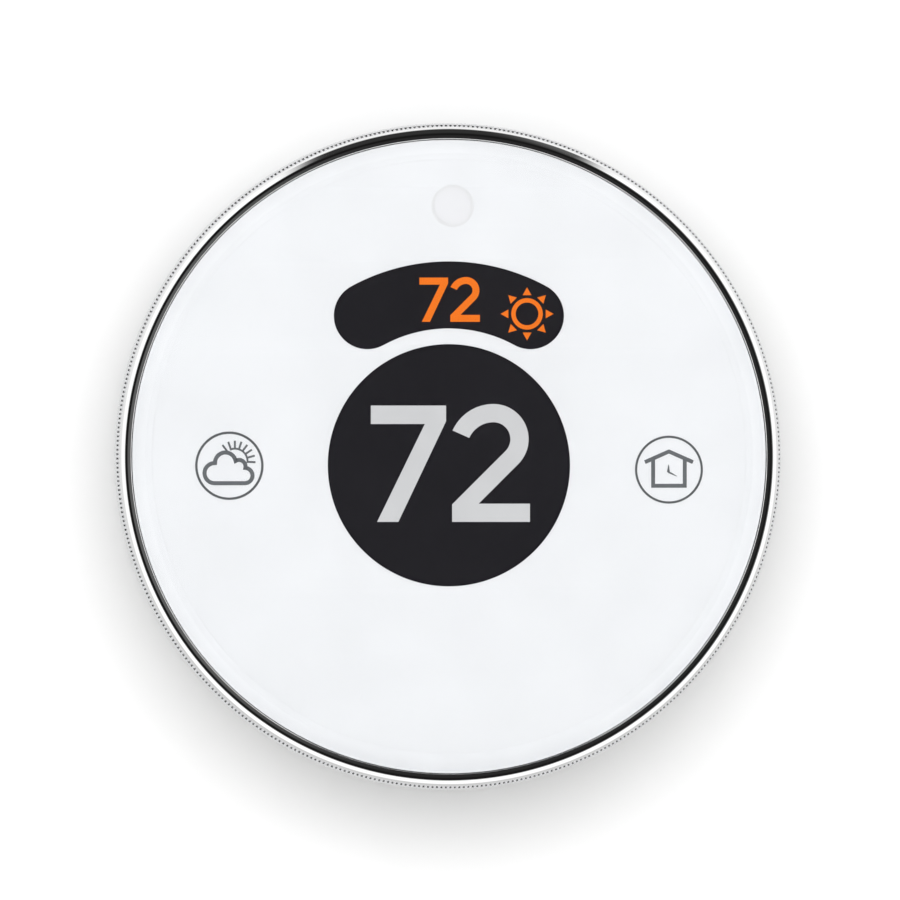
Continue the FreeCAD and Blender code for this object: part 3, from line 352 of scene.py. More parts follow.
def plastic(name, colour, rough=0.4, spread=0.03, grain=0.25, grain_height=0.004, cloud=6.0, **sockets):
    """Moulded plastic: a fine spark grain, slow shade changes, and patches a little shinier than others."""
    f = Finish(name)
    shader = f.shader("ShaderNodeBsdfPrincipled", **sockets)
    dark, light = tones(colour, spread)
    f.link(f.blend(f.noise(cloud), dark, light), shader.inputs["Base Color"])
    f.link(f.between(f.noise(cloud * 0.4), rough - 0.05, rough + 0.05), shader.inputs["Roughness"])
    f.link(f.bump(f.noise(grain, 2), grain_height), shader.inputs["Normal"])
    return f.done(shader)


def metal(name, colour, rough=0.25, spread=0.05, stretch=(1, 1, 1), line=0.12, height=0.002, **sockets):
    """Rolled, drawn or polished metal: fine lines along the stretched way, and a slow stain."""
    f = Finish(name)
    shader = f.shader("ShaderNodeBsdfPrincipled", Metallic=1.0, **sockets)
    dark, light = tones(colour, spread)
    f.link(f.blend(f.noise(3.0), dark, light), shader.inputs["Base Color"])
    lines = f.noise(line, 2, stretch)
    f.link(f.between(lines, rough * 0.8, rough * 1.25), shader.inputs["Roughness"])
    f.link(f.bump(lines, height), shader.inputs["Normal"])
    return f.done(shader)


def clear(name, tint, rough=0.02, smear=0.01):
    """A clear sheet that is seen straight through, with a gloss that grows towards its rim."""
    f = Finish(name)
    through = f.shader("ShaderNodeBsdfTransparent")
    dark, light = tones(tint, 0.004)
    f.link(f.blend(f.noise(9.0), dark, light), through.inputs["Color"])
    mirror = f.shader("ShaderNodeBsdfGlossy", Color=(1, 1, 1, 1))
    f.link(f.between(f.noise(5.0), rough, rough + smear), mirror.inputs["Roughness"])
    facing = f.shader("ShaderNodeLayerWeight", Blend=0.5).outputs["Facing"]
    steep = f.add("ShaderNodeMath", operation="POWER")
    steep.inputs[1].default_value = 5.0
    f.link(facing, steep.inputs[0])
    mix = f.add("ShaderNodeMixShader")
    f.link(f.between(steep.outputs[0], 0.035, 1.0, 0.0, 1.0), mix.inputs[0])
    f.link(through.outputs[0], mix.inputs[1])
    f.link(mirror.outputs[0], mix.inputs[2])
    return f.done(mix)


def lit(name, colour, strength):
    """A lit mark of the display, with the faint unevenness of its backlight."""
    f = Finish(name)
    glow = f.shader("ShaderNodeEmission", Strength=strength)
    dark, light = tones(colour, 0.02)
    f.link(f.blend(f.noise(4.0), dark, light), glow.inputs["Color"])
    return f.done(glow)


def board():
    """Solder mask over copper: thin tracks, lighter planes, and small plated holes."""
    f = Finish("board_green")
    shader = f.shader("ShaderNodeBsdfPrincipled", Coat_Weight=0.4, Coat_Roughness=0.15)
    planes = f.blend(f.noise(7.0, 1), (0.008, 0.085, 0.028), (0.014, 0.13, 0.04), 0.47, 0.5)
    tracks = f.add("ShaderNodeTexBrick", offset=0.37, offset_frequency=3, squash=0.6, squash_frequency=4)
    for socket, value in (("Scale", 1 / (5 * MM)), ("Mortar Size", 0.03), ("Mortar Smooth", 0.1),
                          ("Brick Width", 0.9), ("Row Height", 0.25)):
        tracks.inputs[socket].default_value = value
    turned_place = f.add("ShaderNodeMapping")
    turned_place.inputs["Rotation"].default_value = (math.radians(90), 0, 0)
    f.link(f.place, turned_place.inputs["Vector"])
    f.link(turned_place.outputs[0], tracks.inputs["Vector"])
    f.link(planes, tracks.inputs["Color1"])
    f.link(planes, tracks.inputs["Color2"])
    tracks.inputs["Mortar"].default_value = (0.03, 0.22, 0.07, 1)
    holes = f.add("ShaderNodeMix", data_type="RGBA")
    f.link(f.between(f.cells(2.6), 1, 0, 0.07, 0.09), holes.inputs["Factor"])
    f.link(tracks.outputs["Color"], holes.inputs["A"])
    holes.inputs["B"].default_value = (0.55, 0.42, 0.2, 1)
    f.link(holes.outputs["Result"], shader.inputs["Base Color"])
    f.link(f.between(f.noise(1.5), 0.3, 0.42), shader.inputs["Roughness"])
    f.link(f.bump(tracks.outputs["Fac"], 0.02), shader.inputs["Normal"])
    return f.done(shader)


def cell_sleeve():
    """Printed film shrunk onto the cell: a dark barrel with a copper band towards one end."""
    f = Finish("cell_sleeve")
    shader = f.shader("ShaderNodeBsdfPrincipled", Coat_Weight=0.5, Coat_Roughness=0.1)
    split = f.add("ShaderNodeSeparateXYZ")
    f.link(f.place, split.inputs[0])
    low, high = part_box("battery")
    past_edge = f.add("ShaderNodeMath", operation="GREATER_THAN")
    past_edge.inputs[1].default_value = low.x + (high.x - low.x) * 0.7
    f.link(split.outputs["X"], past_edge.inputs[0])
    barrel = f.blend(past_edge.outputs[0], (0.018, 0.02, 0.024), (0.48, 0.2, 0.07), 0, 1)
    f.link(barrel, shader.inputs["Base Color"])
    f.link(f.between(f.noise(2.0), 0.25, 0.38), shader.inputs["Roughness"])
    f.link(f.bump(f.noise(0.6), 0.01), shader.inputs["Normal"])
    return f.done(shader)


FINISHES = {
    "window_clear": clear("window_clear", (0.97, 0.972, 0.974)),
    "film_clear": clear("film_clear", (0.93, 0.94, 0.94), 0.1, 0.04),
    "vial_clear": clear("vial_clear", (0.95, 0.96, 0.955), 0.03),
    "mask_white": plastic("mask_white", (0.80, 0.808, 0.823), 0.5, 0.004, 0.2, 0.001),
    "sensor_window": plastic("sensor_window", (0.785, 0.785, 0.80), 0.45, 0.01, 0.2, 0.001),
    "display_black": plastic("display_black", (0.0115, 0.0108, 0.0135), 0.45, 0.02, 0.12, 0.0002, 25.0,
                             Specular_IOR_Level=0.2),
    "guide_acrylic": plastic("guide_acrylic", (0.72, 0.75, 0.78), 0.12, 0.02, 0.8, 0.01, Coat_Weight=0.5),
    "frame_black": plastic("frame_black", (0.02, 0.02, 0.022), 0.5, 0.08),
    "flex_amber": plastic("flex_amber", (0.42, 0.16, 0.025), 0.3, 0.12, 0.5, 0.004),
    "housing_grey": plastic("housing_grey", (0.32, 0.33, 0.345), 0.5, 0.03, 0.3, 0.01),
    "gear_acetal": plastic("gear_acetal", (0.7, 0.69, 0.64), 0.3, 0.02),
    "glide_white": plastic("glide_white", (0.78, 0.78, 0.76), 0.22, 0.02),
    "chip_black": plastic("chip_black", (0.017, 0.017, 0.019), 0.55, 0.1, 0.12, 0.006),
    "relay_case": plastic("relay_case", (0.03, 0.055, 0.16), 0.3, 0.05),
    "capacitor_sleeve": plastic("capacitor_sleeve", (0.018, 0.03, 0.09), 0.3, 0.06),
    "ferrite": plastic("ferrite", (0.035, 0.033, 0.032), 0.75, 0.2, 0.15, 0.02),
    "halo_diffuser": plastic("halo_diffuser", (0.86, 0.865, 0.87), 0.35, 0.01, 0.4, 0.004,
                             Subsurface_Weight=0.15),
    "led_body": plastic("led_body", (0.8, 0.72, 0.35), 0.3, 0.04),
    "cover_white": plastic("cover_white", (0.76, 0.765, 0.77), 0.45, 0.015, 0.3, 0.008),
    "plate_white": plastic("plate_white", (0.74, 0.745, 0.75), 0.5, 0.015, 0.35, 0.012),
    "terminal_plastic": plastic("terminal_plastic", (0.5, 0.51, 0.52), 0.42, 0.02),
    "tab_grey": plastic("tab_grey", (0.2, 0.21, 0.22), 0.4, 0.03),
    "vial_liquid": plastic("vial_liquid", (0.42, 0.66, 0.06), 0.08, 0.05, 2.0, 0.001, Coat_Weight=0.6),
    "link_blue": plastic("link_blue", (0.03, 0.16, 0.5), 0.35, 0.03),
    "chrome_bezel": metal("chrome_bezel", (0.93, 0.93, 0.93), 0.05, 0.005, height=0.0002),
    "grip_metal": metal("grip_metal", (0.86, 0.865, 0.88), 0.2, 0.02, (1, 0.08, 1), 0.1, 0.001),
    "shield_can": metal("shield_can", (0.62, 0.62, 0.6), 0.3, 0.08, (1, 1, 0.1), 0.2, 0.004),
    "sensor_can": metal("sensor_can", (0.66, 0.63, 0.55), 0.28, 0.06, (1, 0.1, 1), 0.2, 0.003),
    "screw_steel": metal("screw_steel", (0.5, 0.5, 0.52), 0.32, 0.1, (1, 0.1, 1), 0.15, 0.004),
    "contact_nickel": metal("contact_nickel", (0.66, 0.64, 0.58), 0.25, 0.06, (0.1, 1, 1), 0.15, 0.003),
    "contact_brass": metal("contact_brass", (0.78, 0.56, 0.24), 0.25, 0.08, (1, 1, 0.1), 0.15, 0.003),
    "board_green": board(),
    "cell_sleeve": cell_sleeve(),
}
PRINT_GREY = plastic("print_grey", (0.125, 0.132, 0.14), 0.5, 0.05, 0.3, 0.001)
PRINT_DARK = plastic("print_dark", (0.1, 0.105, 0.11), 0.5, 0.05, 0.3, 0.001)
PRINT_FAINT = plastic("print_faint", (0.75, 0.752, 0.76), 0.5, 0.01, 0.3, 0.001)
LIT_WHITE = lit("lit_white", (0.73, 0.735, 0.745), 1.0)
LIT_ORANGE = lit("lit_orange", (0.93, 0.202, 0.022), 1.12)


def finish_cad_nodes():
    slots = {part["node"]: part["material_slot"] for part in frame["record"]["subparts"]}
    for name, piece in frame["nodes"].items():
        piece.data.materials.clear()
        piece.data.materials.append(FINISHES[slots[name]])


# Pieces in place of CAD nodes whose round edges have to be smooth.

def face_lens():
    sphere_r = (LENS_R ** 2 + LENS_CROWN ** 2) / (2 * LENS_CROWN)
    sphere_d = LENS_FRONT - sphere_r
    edge = LENS_R - LENS_EDGE_ROUND
    corner_d = LENS_FRONT - LENS_CROWN - LENS_EDGE_ROUND
    front = [(r, sphere_d + math.sqrt(sphere_r ** 2 - r ** 2)) for r in
             [edge * (1 - k / 24) for k in range(25)]]
    rim = arc((edge, corner_d), LENS_EDGE_ROUND, 0, 84, 8)
    back = LENS_BACK + CLEAR
    bowl = [(LENS_R - RIM_W * (1 - k / 10), RIM_H * (k / 10) ** 2) for k in range(11)]
    section = [(0, back)] + [(r, back + rise) for r, rise in bowl] + rim + front
    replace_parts(keep("window", "head", "window_clear", turned(lambda i: section, 256)), "face_lens")
    white = [(LENS_R - CLEAR, LENS_BACK - CLEAR)]
    white += [(r - CLEAR, LENS_BACK - CLEAR + rise) for r, rise in bowl[::-1]]
    keep("mask_rim", "head", "mask_white", turned(lambda i: white, 256))


def face_mask():
    """The white layer, cut from one flat outline with its three windows."""
    outline = bpy.data.curves.new("mask_outline", "CURVE")
    outline.dimensions = "2D"
    outline.fill_mode = "BOTH"
    outline.bevel_depth = MASK_BEVEL * MM
    outline.bevel_resolution = 2
    outline.offset = -outline.bevel_depth
    front = MASK_FRONT - 2 * CLEAR
    back = MASK_BACK + CLEAR
    outline.extrude = ((front - back) / 2 - MASK_BEVEL) * MM
    outer = ARCH_R + ARCH_HALF_WIDTH
    inner = ARCH_R - ARCH_HALF_WIDTH
    centre = (0, DISPLAY_Z)
    low = 90 - ARCH_END
    high = 90 + ARCH_END
    arch = arc(centre, outer, low, high, 96)
    arch += arc(arc(centre, ARCH_R, high, high, 1)[0], ARCH_HALF_WIDTH, high, high + 180, 32)[1:]
    arch += arc(centre, inner, high, low, 72)[1:]
    arch += arc(arc(centre, ARCH_R, low, low, 1)[0], ARCH_HALF_WIDTH, low - 180, low, 32)[1:-1]
    loops = [
        arc((0, 0), MASK_R, 0, 360, 256)[:-1],
        arc(centre, DISPLAY_R, 0, 360, 192)[:-1],
        arc((SENSOR_X, SENSOR_Z), SENSOR_R - SENSOR_TUCK, 0, 360, 64)[:-1],
        arch,
    ]
    for loop in loops:
        spline = outline.splines.new("POLY")
        spline.points.add(len(loop) - 1)
        for point, (x, z) in zip(spline.points, loop):
            point.co = (x * MM, z * MM, 0, 1)
        spline.use_cyclic_u = True
    drawn = bpy.data.objects.new("mask_outline", outline)
    bpy.context.scene.collection.objects.link(drawn)
    shape = bmesh.new()
    shape.from_mesh(bpy.data.meshes.new_from_object(drawn))
    bpy.data.objects.remove(drawn)
    middle = (front + back) / 2
    for vert in shape.verts:
        x, z, d = vert.co
        vert.co = (x, -middle * MM - d, z)
    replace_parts(keep("mask", "head", "mask_white", shape), "face_mask")


def chrome_trim():
    front = TRIM_FRONT - CLEAR
    section = rounded([
        (TRIM_IN_R, TRIM_BACK + CLEAR, 0),
        (TRIM_R - CLEAR, TRIM_BACK + CLEAR, 0.1),
        (TRIM_R - CLEAR, front, BEZEL_ROUND),
        (TRIM_CREST_R, front, 0.1),
        (TRIM_IN_R, front - BEZEL_DROP, 0.1),
    ], 12)
    piece = keep("bezel", "control_ring", "chrome_bezel", turned(lambda i: section, 384), 60)
    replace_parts(piece, "chrome_trim")


def grip_ring():
    """The cone between the two smooth lips carries fine ribs, each a rounded ridge along the grip."""
    band_back = GRIP_BACK + REAR_LIP_H
    band_front = GRIP_FRONT - FRONT_LIP_H

    def lip_r(depth):
        share = (depth - GRIP_BACK) / (GRIP_FRONT - GRIP_BACK)
        return GRIP_R + (TRIM_R - GRIP_R) * share

    def section(i):
        height = 0.5 + 0.5 * math.cos(math.tau * i / RIB_STEPS)
        sink = RIB_DEPTH * (1 - height ** 0.8)
        rear_centre = (GRIP_R - GRIP_REAR_ROUND, GRIP_BACK + GRIP_REAR_ROUND)
        rear = arc(rear_centre, GRIP_REAR_ROUND, -90, 0, 5)
        ribs = [
            (lip_r(band_back), band_back),
            (lip_r(band_back) - 0.5 * sink - RIB_SEAT, band_back + 0.01),
            (lip_r(band_back) - sink - RIB_SEAT, band_back + 0.02),
        ]
        for k in range(1, RIB_SPANS):
            depth = band_back + (band_front - band_back) * k / RIB_SPANS
            ribs.append((lip_r(depth) - sink - RIB_SEAT, depth))
        ribs += [
            (lip_r(band_front) - sink - RIB_SEAT, band_front - 0.25),
            (lip_r(band_front) - 0.5 * sink - RIB_SEAT, band_front - 0.06),
            (lip_r(band_front), band_front),
            (TRIM_R, GRIP_FRONT - 0.08),
            (TRIM_R - 0.08, GRIP_FRONT),
        ]
        inside = [
            (GRIP_INNER_R, GRIP_FRONT),
            (GRIP_INNER_R, SHOULDER_D),
            (LAND_R, SHOULDER_D),
            (LAND_R, LAND_BACK),
            (GEAR_SEAT_R, LAND_BACK),
            (GEAR_SEAT_R, FLANGE_FRONT),
            (FLANGE_SEAT_R, FLANGE_FRONT),
            (FLANGE_SEAT_R, GRIP_BACK),
        ]
        return rear + ribs + inside

    shape = turned(section, RIB_COUNT * RIB_STEPS)
    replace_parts(keep("grip", "control_ring", "grip_metal", shape, 50), "grip_ring")


def halo_light_ring():
    """The pale band behind the grip. Its inside has pockets for the lamps, as the CAD ring has."""
    steps = 384
    half = math.degrees(POCKET_HALF_WIDTH / HALO_INNER_R)

    def section(i):
        angle = (360 * i / steps) % (360 / POCKET_COUNT) - 180 / POCKET_COUNT
        inside = HALO_INNER_R + (POCKET_DEPTH if abs(angle) < half else 0)
        return rounded([
            (inside, HALO_BACK, 0),
            (HALO_R, HALO_BACK, 0.4),
            (HALO_R, HALO_FRONT, 0.15),
            (inside, HALO_FRONT, 0),
        ], 6)

    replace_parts(keep("halo", "head", "halo_diffuser", turned(section, steps)), "halo_light_ring")


# What the display shows and what is printed on the mask.

def marks(name, slot, finish, shape):
    """A lit or printed piece on the face."""
    piece = keep(name, "head", slot, shape)
    piece.data.materials[0] = finish
    return piece


def seven():
    slant = 2.81
    return [(-10.31, 6.74), (-0.37, 6.74), (-0.37, 4.67), (-6.67, -8.63), (-6.67 - slant, -8.63),
            (-3.18, 4.3), (-10.31, 4.3)]


def two():
    """Two arcs, a diagonal tangent to the second one, and the foot."""
    half = DIGIT_STROKE / 2
    foot_top = -6.22
    foot = (0.43, 10.71, -8.63)
    hook = (5.89, 1.04)
    bowl = (5.89, 2.3)
    outer = arc(hook, 4.7 + half, 156, 90, 20) + arc(bowl, 3.44 + half, 90, -45, 36)[1:]
    inner = arc(hook, 4.7 - half, 156, 90, 20) + arc(bowl, 3.44 - half, 90, -45, 36)[1:]
    x, z = outer[-1]
    outer.append((x - (z - foot_top), foot_top))
    outer += [(foot[1], foot_top), (foot[1], foot[2]), (foot[0], foot[2])]
    x, z = inner[-1]
    inner.append((foot[0], z - (x - foot[0])))
    return outer + inner[::-1]


def digits():
    back = LCD_FRONT
    front = LCD_FRONT + LIT_T
    large = bmesh.new()
    small = bmesh.new()
    for digit in (seven(), two()):
        plate(large, digit, back, front)
        plate(small, moved(digit, SMALL_CENTRE, SMALL_SCALE), back, front)
    marks("digits_large", "display_black", LIT_WHITE, large)
    marks("digits_small", "display_black", LIT_ORANGE, small)


def sun():
    back = LCD_FRONT
    front = LCD_FRONT + LIT_T
    shape = bmesh.new()
    hoop(shape, SUN_CENTRE, SUN_RING_R, SUN_LINE, back, front, 64)
    for i in range(SUN_RAYS):
        turn = math.tau * i / SUN_RAYS
        ahead = Vector((math.cos(turn), math.sin(turn)))
        aside = Vector((-ahead.y, ahead.x))
        ray = [ahead * SUN_RAY_BACK - aside * SUN_LINE, ahead * SUN_RAY_TIP,
               ahead * SUN_RAY_BACK + aside * SUN_LINE]
        plate(shape, moved([tuple(p) for p in ray], SUN_CENTRE), back, front)
    marks("sun_mark", "display_black", LIT_ORANGE, shape)


def cloud_path():
    """The closed outline of the cloud: four arcs that meet at notches, and the base."""
    path = []
    for centre, radius, start, end in CLOUD_LOBES:
        path += arc(centre, radius, start, end, 16)[:-1]
    return path + arc(*CLOUD_LOBES[-1][:2], -90, -90, 1)[:1]


def weather_icon():
    back = PRINT_BACK
    front = back + PRINT_T
    ring = bmesh.new()
    hoop(ring, WEATHER_CENTRE, WEATHER_RING_R, 0.32, back, front)
    marks("weather_ring", "mask_white", PRINT_DARK, ring)
    shape = bmesh.new()
    band(shape, moved(cloud_path(), WEATHER_CENTRE), ICON_LINE, back, front, True)
    rim = arc(LITTLE_SUN, LITTLE_SUN_R, 114, -8, 32)
    band(shape, moved(rim, WEATHER_CENTRE), 0.26, back, front - PRINT_LAYER)
    for i in range(LITTLE_RAYS):
        turn = LITTLE_RAY_START - LITTLE_RAY_STEP * i
        ray = [arc(LITTLE_SUN, reach, turn, turn, 1)[0] for reach in (1.7, 2.72)]
        band(shape, moved(ray, WEATHER_CENTRE), 0.27, back, front - 2 * PRINT_LAYER)
    marks("weather_mark", "mask_white", PRINT_GREY, shape)


def home_icon():
    back = PRINT_BACK
    front = back + PRINT_T
    ring = bmesh.new()
    hoop(ring, HOME_CENTRE, HOME_RING_R, 0.3, back, front)
    marks("home_ring", "mask_white", PRINT_DARK, ring)
    shape = bmesh.new()
    walls = [(-2.09, 1.35), (-2.09, -2.13), (2.09, -2.13), (2.09, 1.35)]
    roof = [(-3.18, 0.99), (0, 2.4), (3.18, 0.99)]
    band(shape, moved(walls, HOME_CENTRE), ICON_LINE - 0.02, back, front - PRINT_LAYER)
    band(shape, moved(roof, HOME_CENTRE), ICON_LINE - 0.02, back, front)
    minute = [(-0.27, -0.36), (0.12, -0.28), (0.0, 0.64), (-0.1, 0.64)]
    hour = [(-0.2, -0.12), (-0.12, -0.44), (1.02, -0.9), (1.06, -0.83), (0.4, -0.42)]
    plate(shape, moved(minute, HOME_CENTRE), back, front)
    plate(shape, moved(hour, HOME_CENTRE), back, front - PRINT_LAYER)
    marks("home_mark", "mask_white", PRINT_GREY, shape)


def sensor_mark():
    """The faint ring round the motion sensor's window."""
    shape = bmesh.new()
    hoop(shape, (SENSOR_X, SENSOR_Z), SENSOR_RING_R, 0.4, PRINT_BACK, PRINT_BACK + PRINT_T, 64)
    marks("sensor_ring", "mask_white", PRINT_FAINT, shape)


# Small parts on the board, which the CAD model leaves to the looks.

CHIP_ROUND = 0.08
CHIP_SIZE = (1.0, 0.8)
CHIP_H = 0.45
SOLDER_SIZE = (0.36, 0.84)
SOLDER_H = 0.47
SOLDER_REACH = 0.62     # from a chip's middle
# Each row: its first chip's place, how many chips, and the steps across and down to the next one.
CHIP_ROWS = [(-14, 17, 6, 0, 2.2), (14.5, 6, 5, 0, 2.2), (-16, -6, 7, 2.4, 0), (-29.5, -12.5, 4, 2.4, 0)]


def block(shape, centre, size, back, height):
    x, z = centre
    half_x = size[0] / 2
    half_z = size[1] / 2
    corners = [(x - half_x, z - half_z, CHIP_ROUND), (x + half_x, z - half_z, CHIP_ROUND),
               (x + half_x, z + half_z, CHIP_ROUND), (x - half_x, z + half_z, CHIP_ROUND)]
    plate(shape, rounded(corners, 3), back, back + height)


def board_parts():
    """Rows of chip resistors and capacitors, each a body between two soldered ends."""
    top = -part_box("main_board")[0].y / MM
    bodies = bmesh.new()
    ends = bmesh.new()
    for x, z, count, step_x, step_z in CHIP_ROWS:
        for i in range(count):
            middle = (x + i * step_x, z - i * step_z)
            block(bodies, middle, CHIP_SIZE, top, CHIP_H)
            for side in (-1, 1):
                end = (middle[0] + side * SOLDER_REACH, middle[1])
                block(ends, end, SOLDER_SIZE, top, SOLDER_H)
    keep("board_chips", "head", "chip_black", bodies)
    keep("board_solder", "head", "shield_can", ends)


# The room: a wall, a floor, soft lights and the camera.

WALL_HALF = 450
WALL_GAP = 0.2          # behind the wall plate
FLOOR_DROP = 450
FLOOR_HALF = 12000
FLOOR_GLOW = 0.6        # of the floor that is seen; the one just under it lights the object
CAMERA_DISTANCE = 4000
CAMERA_TURN = -0.65     # degrees to the side
CAMERA_LENS = 1212
CAMERA_WIDTH = 36
CAMERA_REACH = 20       # metres
AIM_X = 0.12
AIM_Z = 0.866
KEY_DISTANCE = 1200
KEY_SPREAD = 24         # degrees from its middle to its edge
KEY_RISE = 12
KEY_POWER = 16.6
FILL_RISE = 25
FILL_POWER = 7.5
ROOM_LEVEL = 0.5        # what lights the object
MIRROR_LEVEL = 1.35     # what its front mirrors
REAR_LEVELS = (0.8, 1.2)   # what the grip's side mirrors, low and high in the room
FRONT_LEVEL = 0.012     # the dark patch in front
EDGE_LEVELS = (0.03, 0.14)   # and near its edge, at its left and its right
TOP_LEVEL = 0.03        # the patch over the object, as a share of the room's level
FRONT_DARK = (10, 22)   # degrees from the middle of the front, where it rises to its edge's level
FRONT_LIGHT = (26, 34)  # and where it ends
TOP_SIDES = (20, 34)    # degrees each side of straight up, where the patch over the object ends
TOP_BACK = (85, 105)    # and where it ends towards the back
REAR_START = (88, 102)
BACKDROP = 0.86         # what the camera sees behind everything


def sheet_of(name, corners, material):
    mesh = bpy.data.meshes.new(name)
    mesh.from_pydata([[c * MM for c in corner] for corner in corners], [], [range(len(corners))])
    piece = bpy.data.objects.new(name, mesh)
    piece.data.materials.append(material)
    bpy.context.scene.collection.objects.link(piece)
    return piece


def wall_paint():
    """Plain white paint, clear from behind so that the back of the object can be looked at."""
    f = Finish("wall_paint")
    paint = f.shader("ShaderNodeBsdfDiffuse")
    f.link(f.blend(f.noise(60.0), (0.817, 0.817, 0.817), (0.823, 0.823, 0.823)), paint.inputs["Color"])
    through = f.shader("ShaderNodeBsdfTransparent")
    side = f.add("ShaderNodeNewGeometry")
    mix = f.add("ShaderNodeMixShader")
    f.link(side.outputs["Backfacing"], mix.inputs[0])
    f.link(paint.outputs[0], mix.inputs[1])
    f.link(through.outputs[0], mix.inputs[2])
    return f.done(mix)


def room():
    half = WALL_HALF
    wall = sheet_of("wall", [(-half, WALL_GAP, -half), (half, WALL_GAP, -half), (half, WALL_GAP, half),
                             (-half, WALL_GAP, half)], wall_paint())
    wall.visible_shadow = False
    wall.visible_diffuse = False
    wall.visible_glossy = False
    paint = plastic("floor_paint", (0.8, 0.8, 0.79), 0.7, 0.01, 2.0, 0.01, 80.0)
    bright = plastic("floor_bright", (0.8, 0.8, 0.79), 0.7, 0.01, 2.0, 0.01, 80.0,
                     Emission_Color=(0.8, 0.8, 0.8, 1), Emission_Strength=FLOOR_GLOW)
    for name, drop, wide, material in (("floor", FLOOR_DROP, FLOOR_HALF, bright),
                                       ("floor_under", FLOOR_DROP + 1, 4 * half, paint)):
        floor = sheet_of(name, [(-wide, -wide, -drop), (wide, -wide, -drop), (wide, wide, -drop),
                                (-wide, wide, -drop)], material)
        floor.visible_glossy = False
        if material is bright:
            floor.visible_diffuse = False
            floor.visible_shadow = False


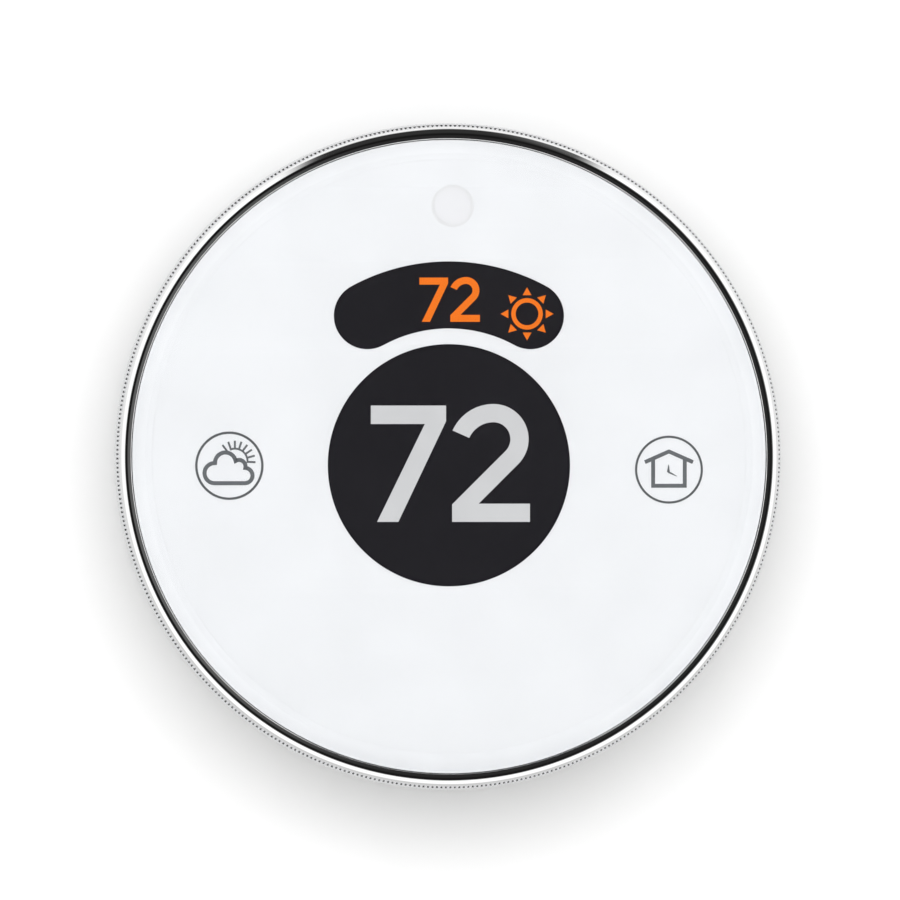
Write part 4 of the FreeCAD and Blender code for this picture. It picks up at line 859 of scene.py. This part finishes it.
def world():
    """A white room round the object, with a dark patch in front of it and another over it.

    The patches are what the window and the bezel mirror: the dark front keeps the window clear.
    The side of the grip mirrors the rear of the room, which is brighter towards the top.
    """
    made = bpy.data.worlds.new("studio")
    made.use_nodes = True
    tree = made.node_tree
    tree.nodes.clear()

    def add(kind, **settings):
        node = tree.nodes.new(kind)
        for key, value in settings.items():
            setattr(node, key, value)
        return node

    def maths(operation, *values):
        node = add("ShaderNodeMath", operation=operation)
        for socket, value in zip(node.inputs, values):
            if isinstance(value, (int, float)):
                socket.default_value = value
            else:
                tree.links.new(value, socket)
        return node.outputs[0]

    def step(value, start, end, low=0.0, high=1.0):
        node = add("ShaderNodeMapRange", interpolation_type="SMOOTHSTEP")
        for name, number in (("From Min", start), ("From Max", end), ("To Min", low), ("To Max", high)):
            node.inputs[name].default_value = number
        tree.links.new(value, node.inputs["Value"])
        return node.outputs["Result"]

    def angle_step(value, degrees):
        return step(value, *[math.radians(angle) for angle in degrees])

    split = add("ShaderNodeSeparateXYZ")
    tree.links.new(add("ShaderNodeTexCoord").outputs["Generated"], split.inputs[0])
    x, y, z = split.outputs
    off_axis = maths("ARCCOSINE", maths("MULTIPLY", y, -1.0))
    around = maths("ARCTAN2", x, z)
    paths = add("ShaderNodeLightPath").outputs
    rear = step(z, -0.9, 0.9, *REAR_LEVELS)
    beside = angle_step(off_axis, REAR_START)
    mirrored = maths("ADD", maths("MULTIPLY", beside, rear),
                     maths("MULTIPLY", maths("SUBTRACT", 1.0, beside), MIRROR_LEVEL))
    shiny = paths["Is Glossy Ray"]
    room_level = maths("ADD", maths("MULTIPLY", shiny, mirrored),
                       maths("MULTIPLY", maths("SUBTRACT", 1.0, shiny), ROOM_LEVEL))
    front = angle_step(off_axis, FRONT_LIGHT)
    edge_level = step(x, 0.05, 0.35, *EDGE_LEVELS)
    outwards = angle_step(off_axis, FRONT_DARK)
    dim = maths("MAXIMUM", FRONT_LEVEL, maths("MULTIPLY", outwards, edge_level))
    aside = angle_step(maths("ABSOLUTE", around), TOP_SIDES)
    behind = angle_step(off_axis, TOP_BACK)
    top = step(maths("MAXIMUM", aside, behind), 0, 1, TOP_LEVEL, 1.0)
    level = maths("MULTIPLY", maths("MULTIPLY", front, room_level), top)
    shade = add("ShaderNodeBackground")
    tree.links.new(maths("MAXIMUM", level, dim), shade.inputs["Strength"])
    plain = add("ShaderNodeBackground")
    plain.inputs["Color"].default_value = (BACKDROP, BACKDROP, BACKDROP, 1)
    mix = add("ShaderNodeMixShader")
    tree.links.new(paths["Is Camera Ray"], mix.inputs[0])
    tree.links.new(shade.outputs[0], mix.inputs[1])
    tree.links.new(plain.outputs[0], mix.inputs[2])
    tree.links.new(mix.outputs[0], add("ShaderNodeOutputWorld").inputs["Surface"])
    bpy.context.scene.world = made


def lamp(name, towards, distance, spread, power):
    """A soft round light that isn't mirrored, so that the window stays clear."""
    light = bpy.data.lights.new(name, "AREA")
    light.shape = "DISK"
    light.size = 2 * distance * math.tan(math.radians(spread)) * MM
    light.energy = power
    holder = bpy.data.objects.new(name, light)
    holder.location = towards * distance * MM
    holder.rotation_mode = "QUATERNION"
    holder.rotation_quaternion = (-towards).to_track_quat("-Z", "Y")
    holder.visible_glossy = False
    bpy.context.scene.collection.objects.link(holder)


def lights():
    """One wide light a little above the camera, and one behind the wall for views of the back."""
    rise = math.radians(KEY_RISE)
    lamp("key", Vector((0, -math.cos(rise), math.sin(rise))), KEY_DISTANCE, KEY_SPREAD, KEY_POWER)
    rise = math.radians(FILL_RISE)
    lamp("fill", Vector((0, math.cos(rise), math.sin(rise))), KEY_DISTANCE, KEY_SPREAD, FILL_POWER)


def camera():
    turn = math.radians(CAMERA_TURN)
    back = Vector((math.sin(turn), -math.cos(turn), 0))
    aim = Vector((AIM_X, -LENS_FRONT, AIM_Z)) * MM
    data = bpy.data.cameras.new("camera")
    data.sensor_width = CAMERA_WIDTH
    data.lens = CAMERA_LENS
    data.clip_end = CAMERA_REACH
    holder = bpy.data.objects.new("camera", data)
    holder.location = aim + back * CAMERA_DISTANCE * MM
    holder.rotation_mode = "QUATERNION"
    holder.rotation_quaternion = (-back).to_track_quat("-Z", "Y")
    bpy.context.scene.collection.objects.link(holder)
    bpy.context.scene.camera = holder
    bpy.context.scene.view_settings.view_transform = "Standard"


camera()
world()
lights()
room()
finish_cad_nodes()
for make in (face_lens, face_mask, chrome_trim, grip_ring, halo_light_ring, digits, sun, weather_icon,
             home_icon, sensor_mark, board_parts):
    make()
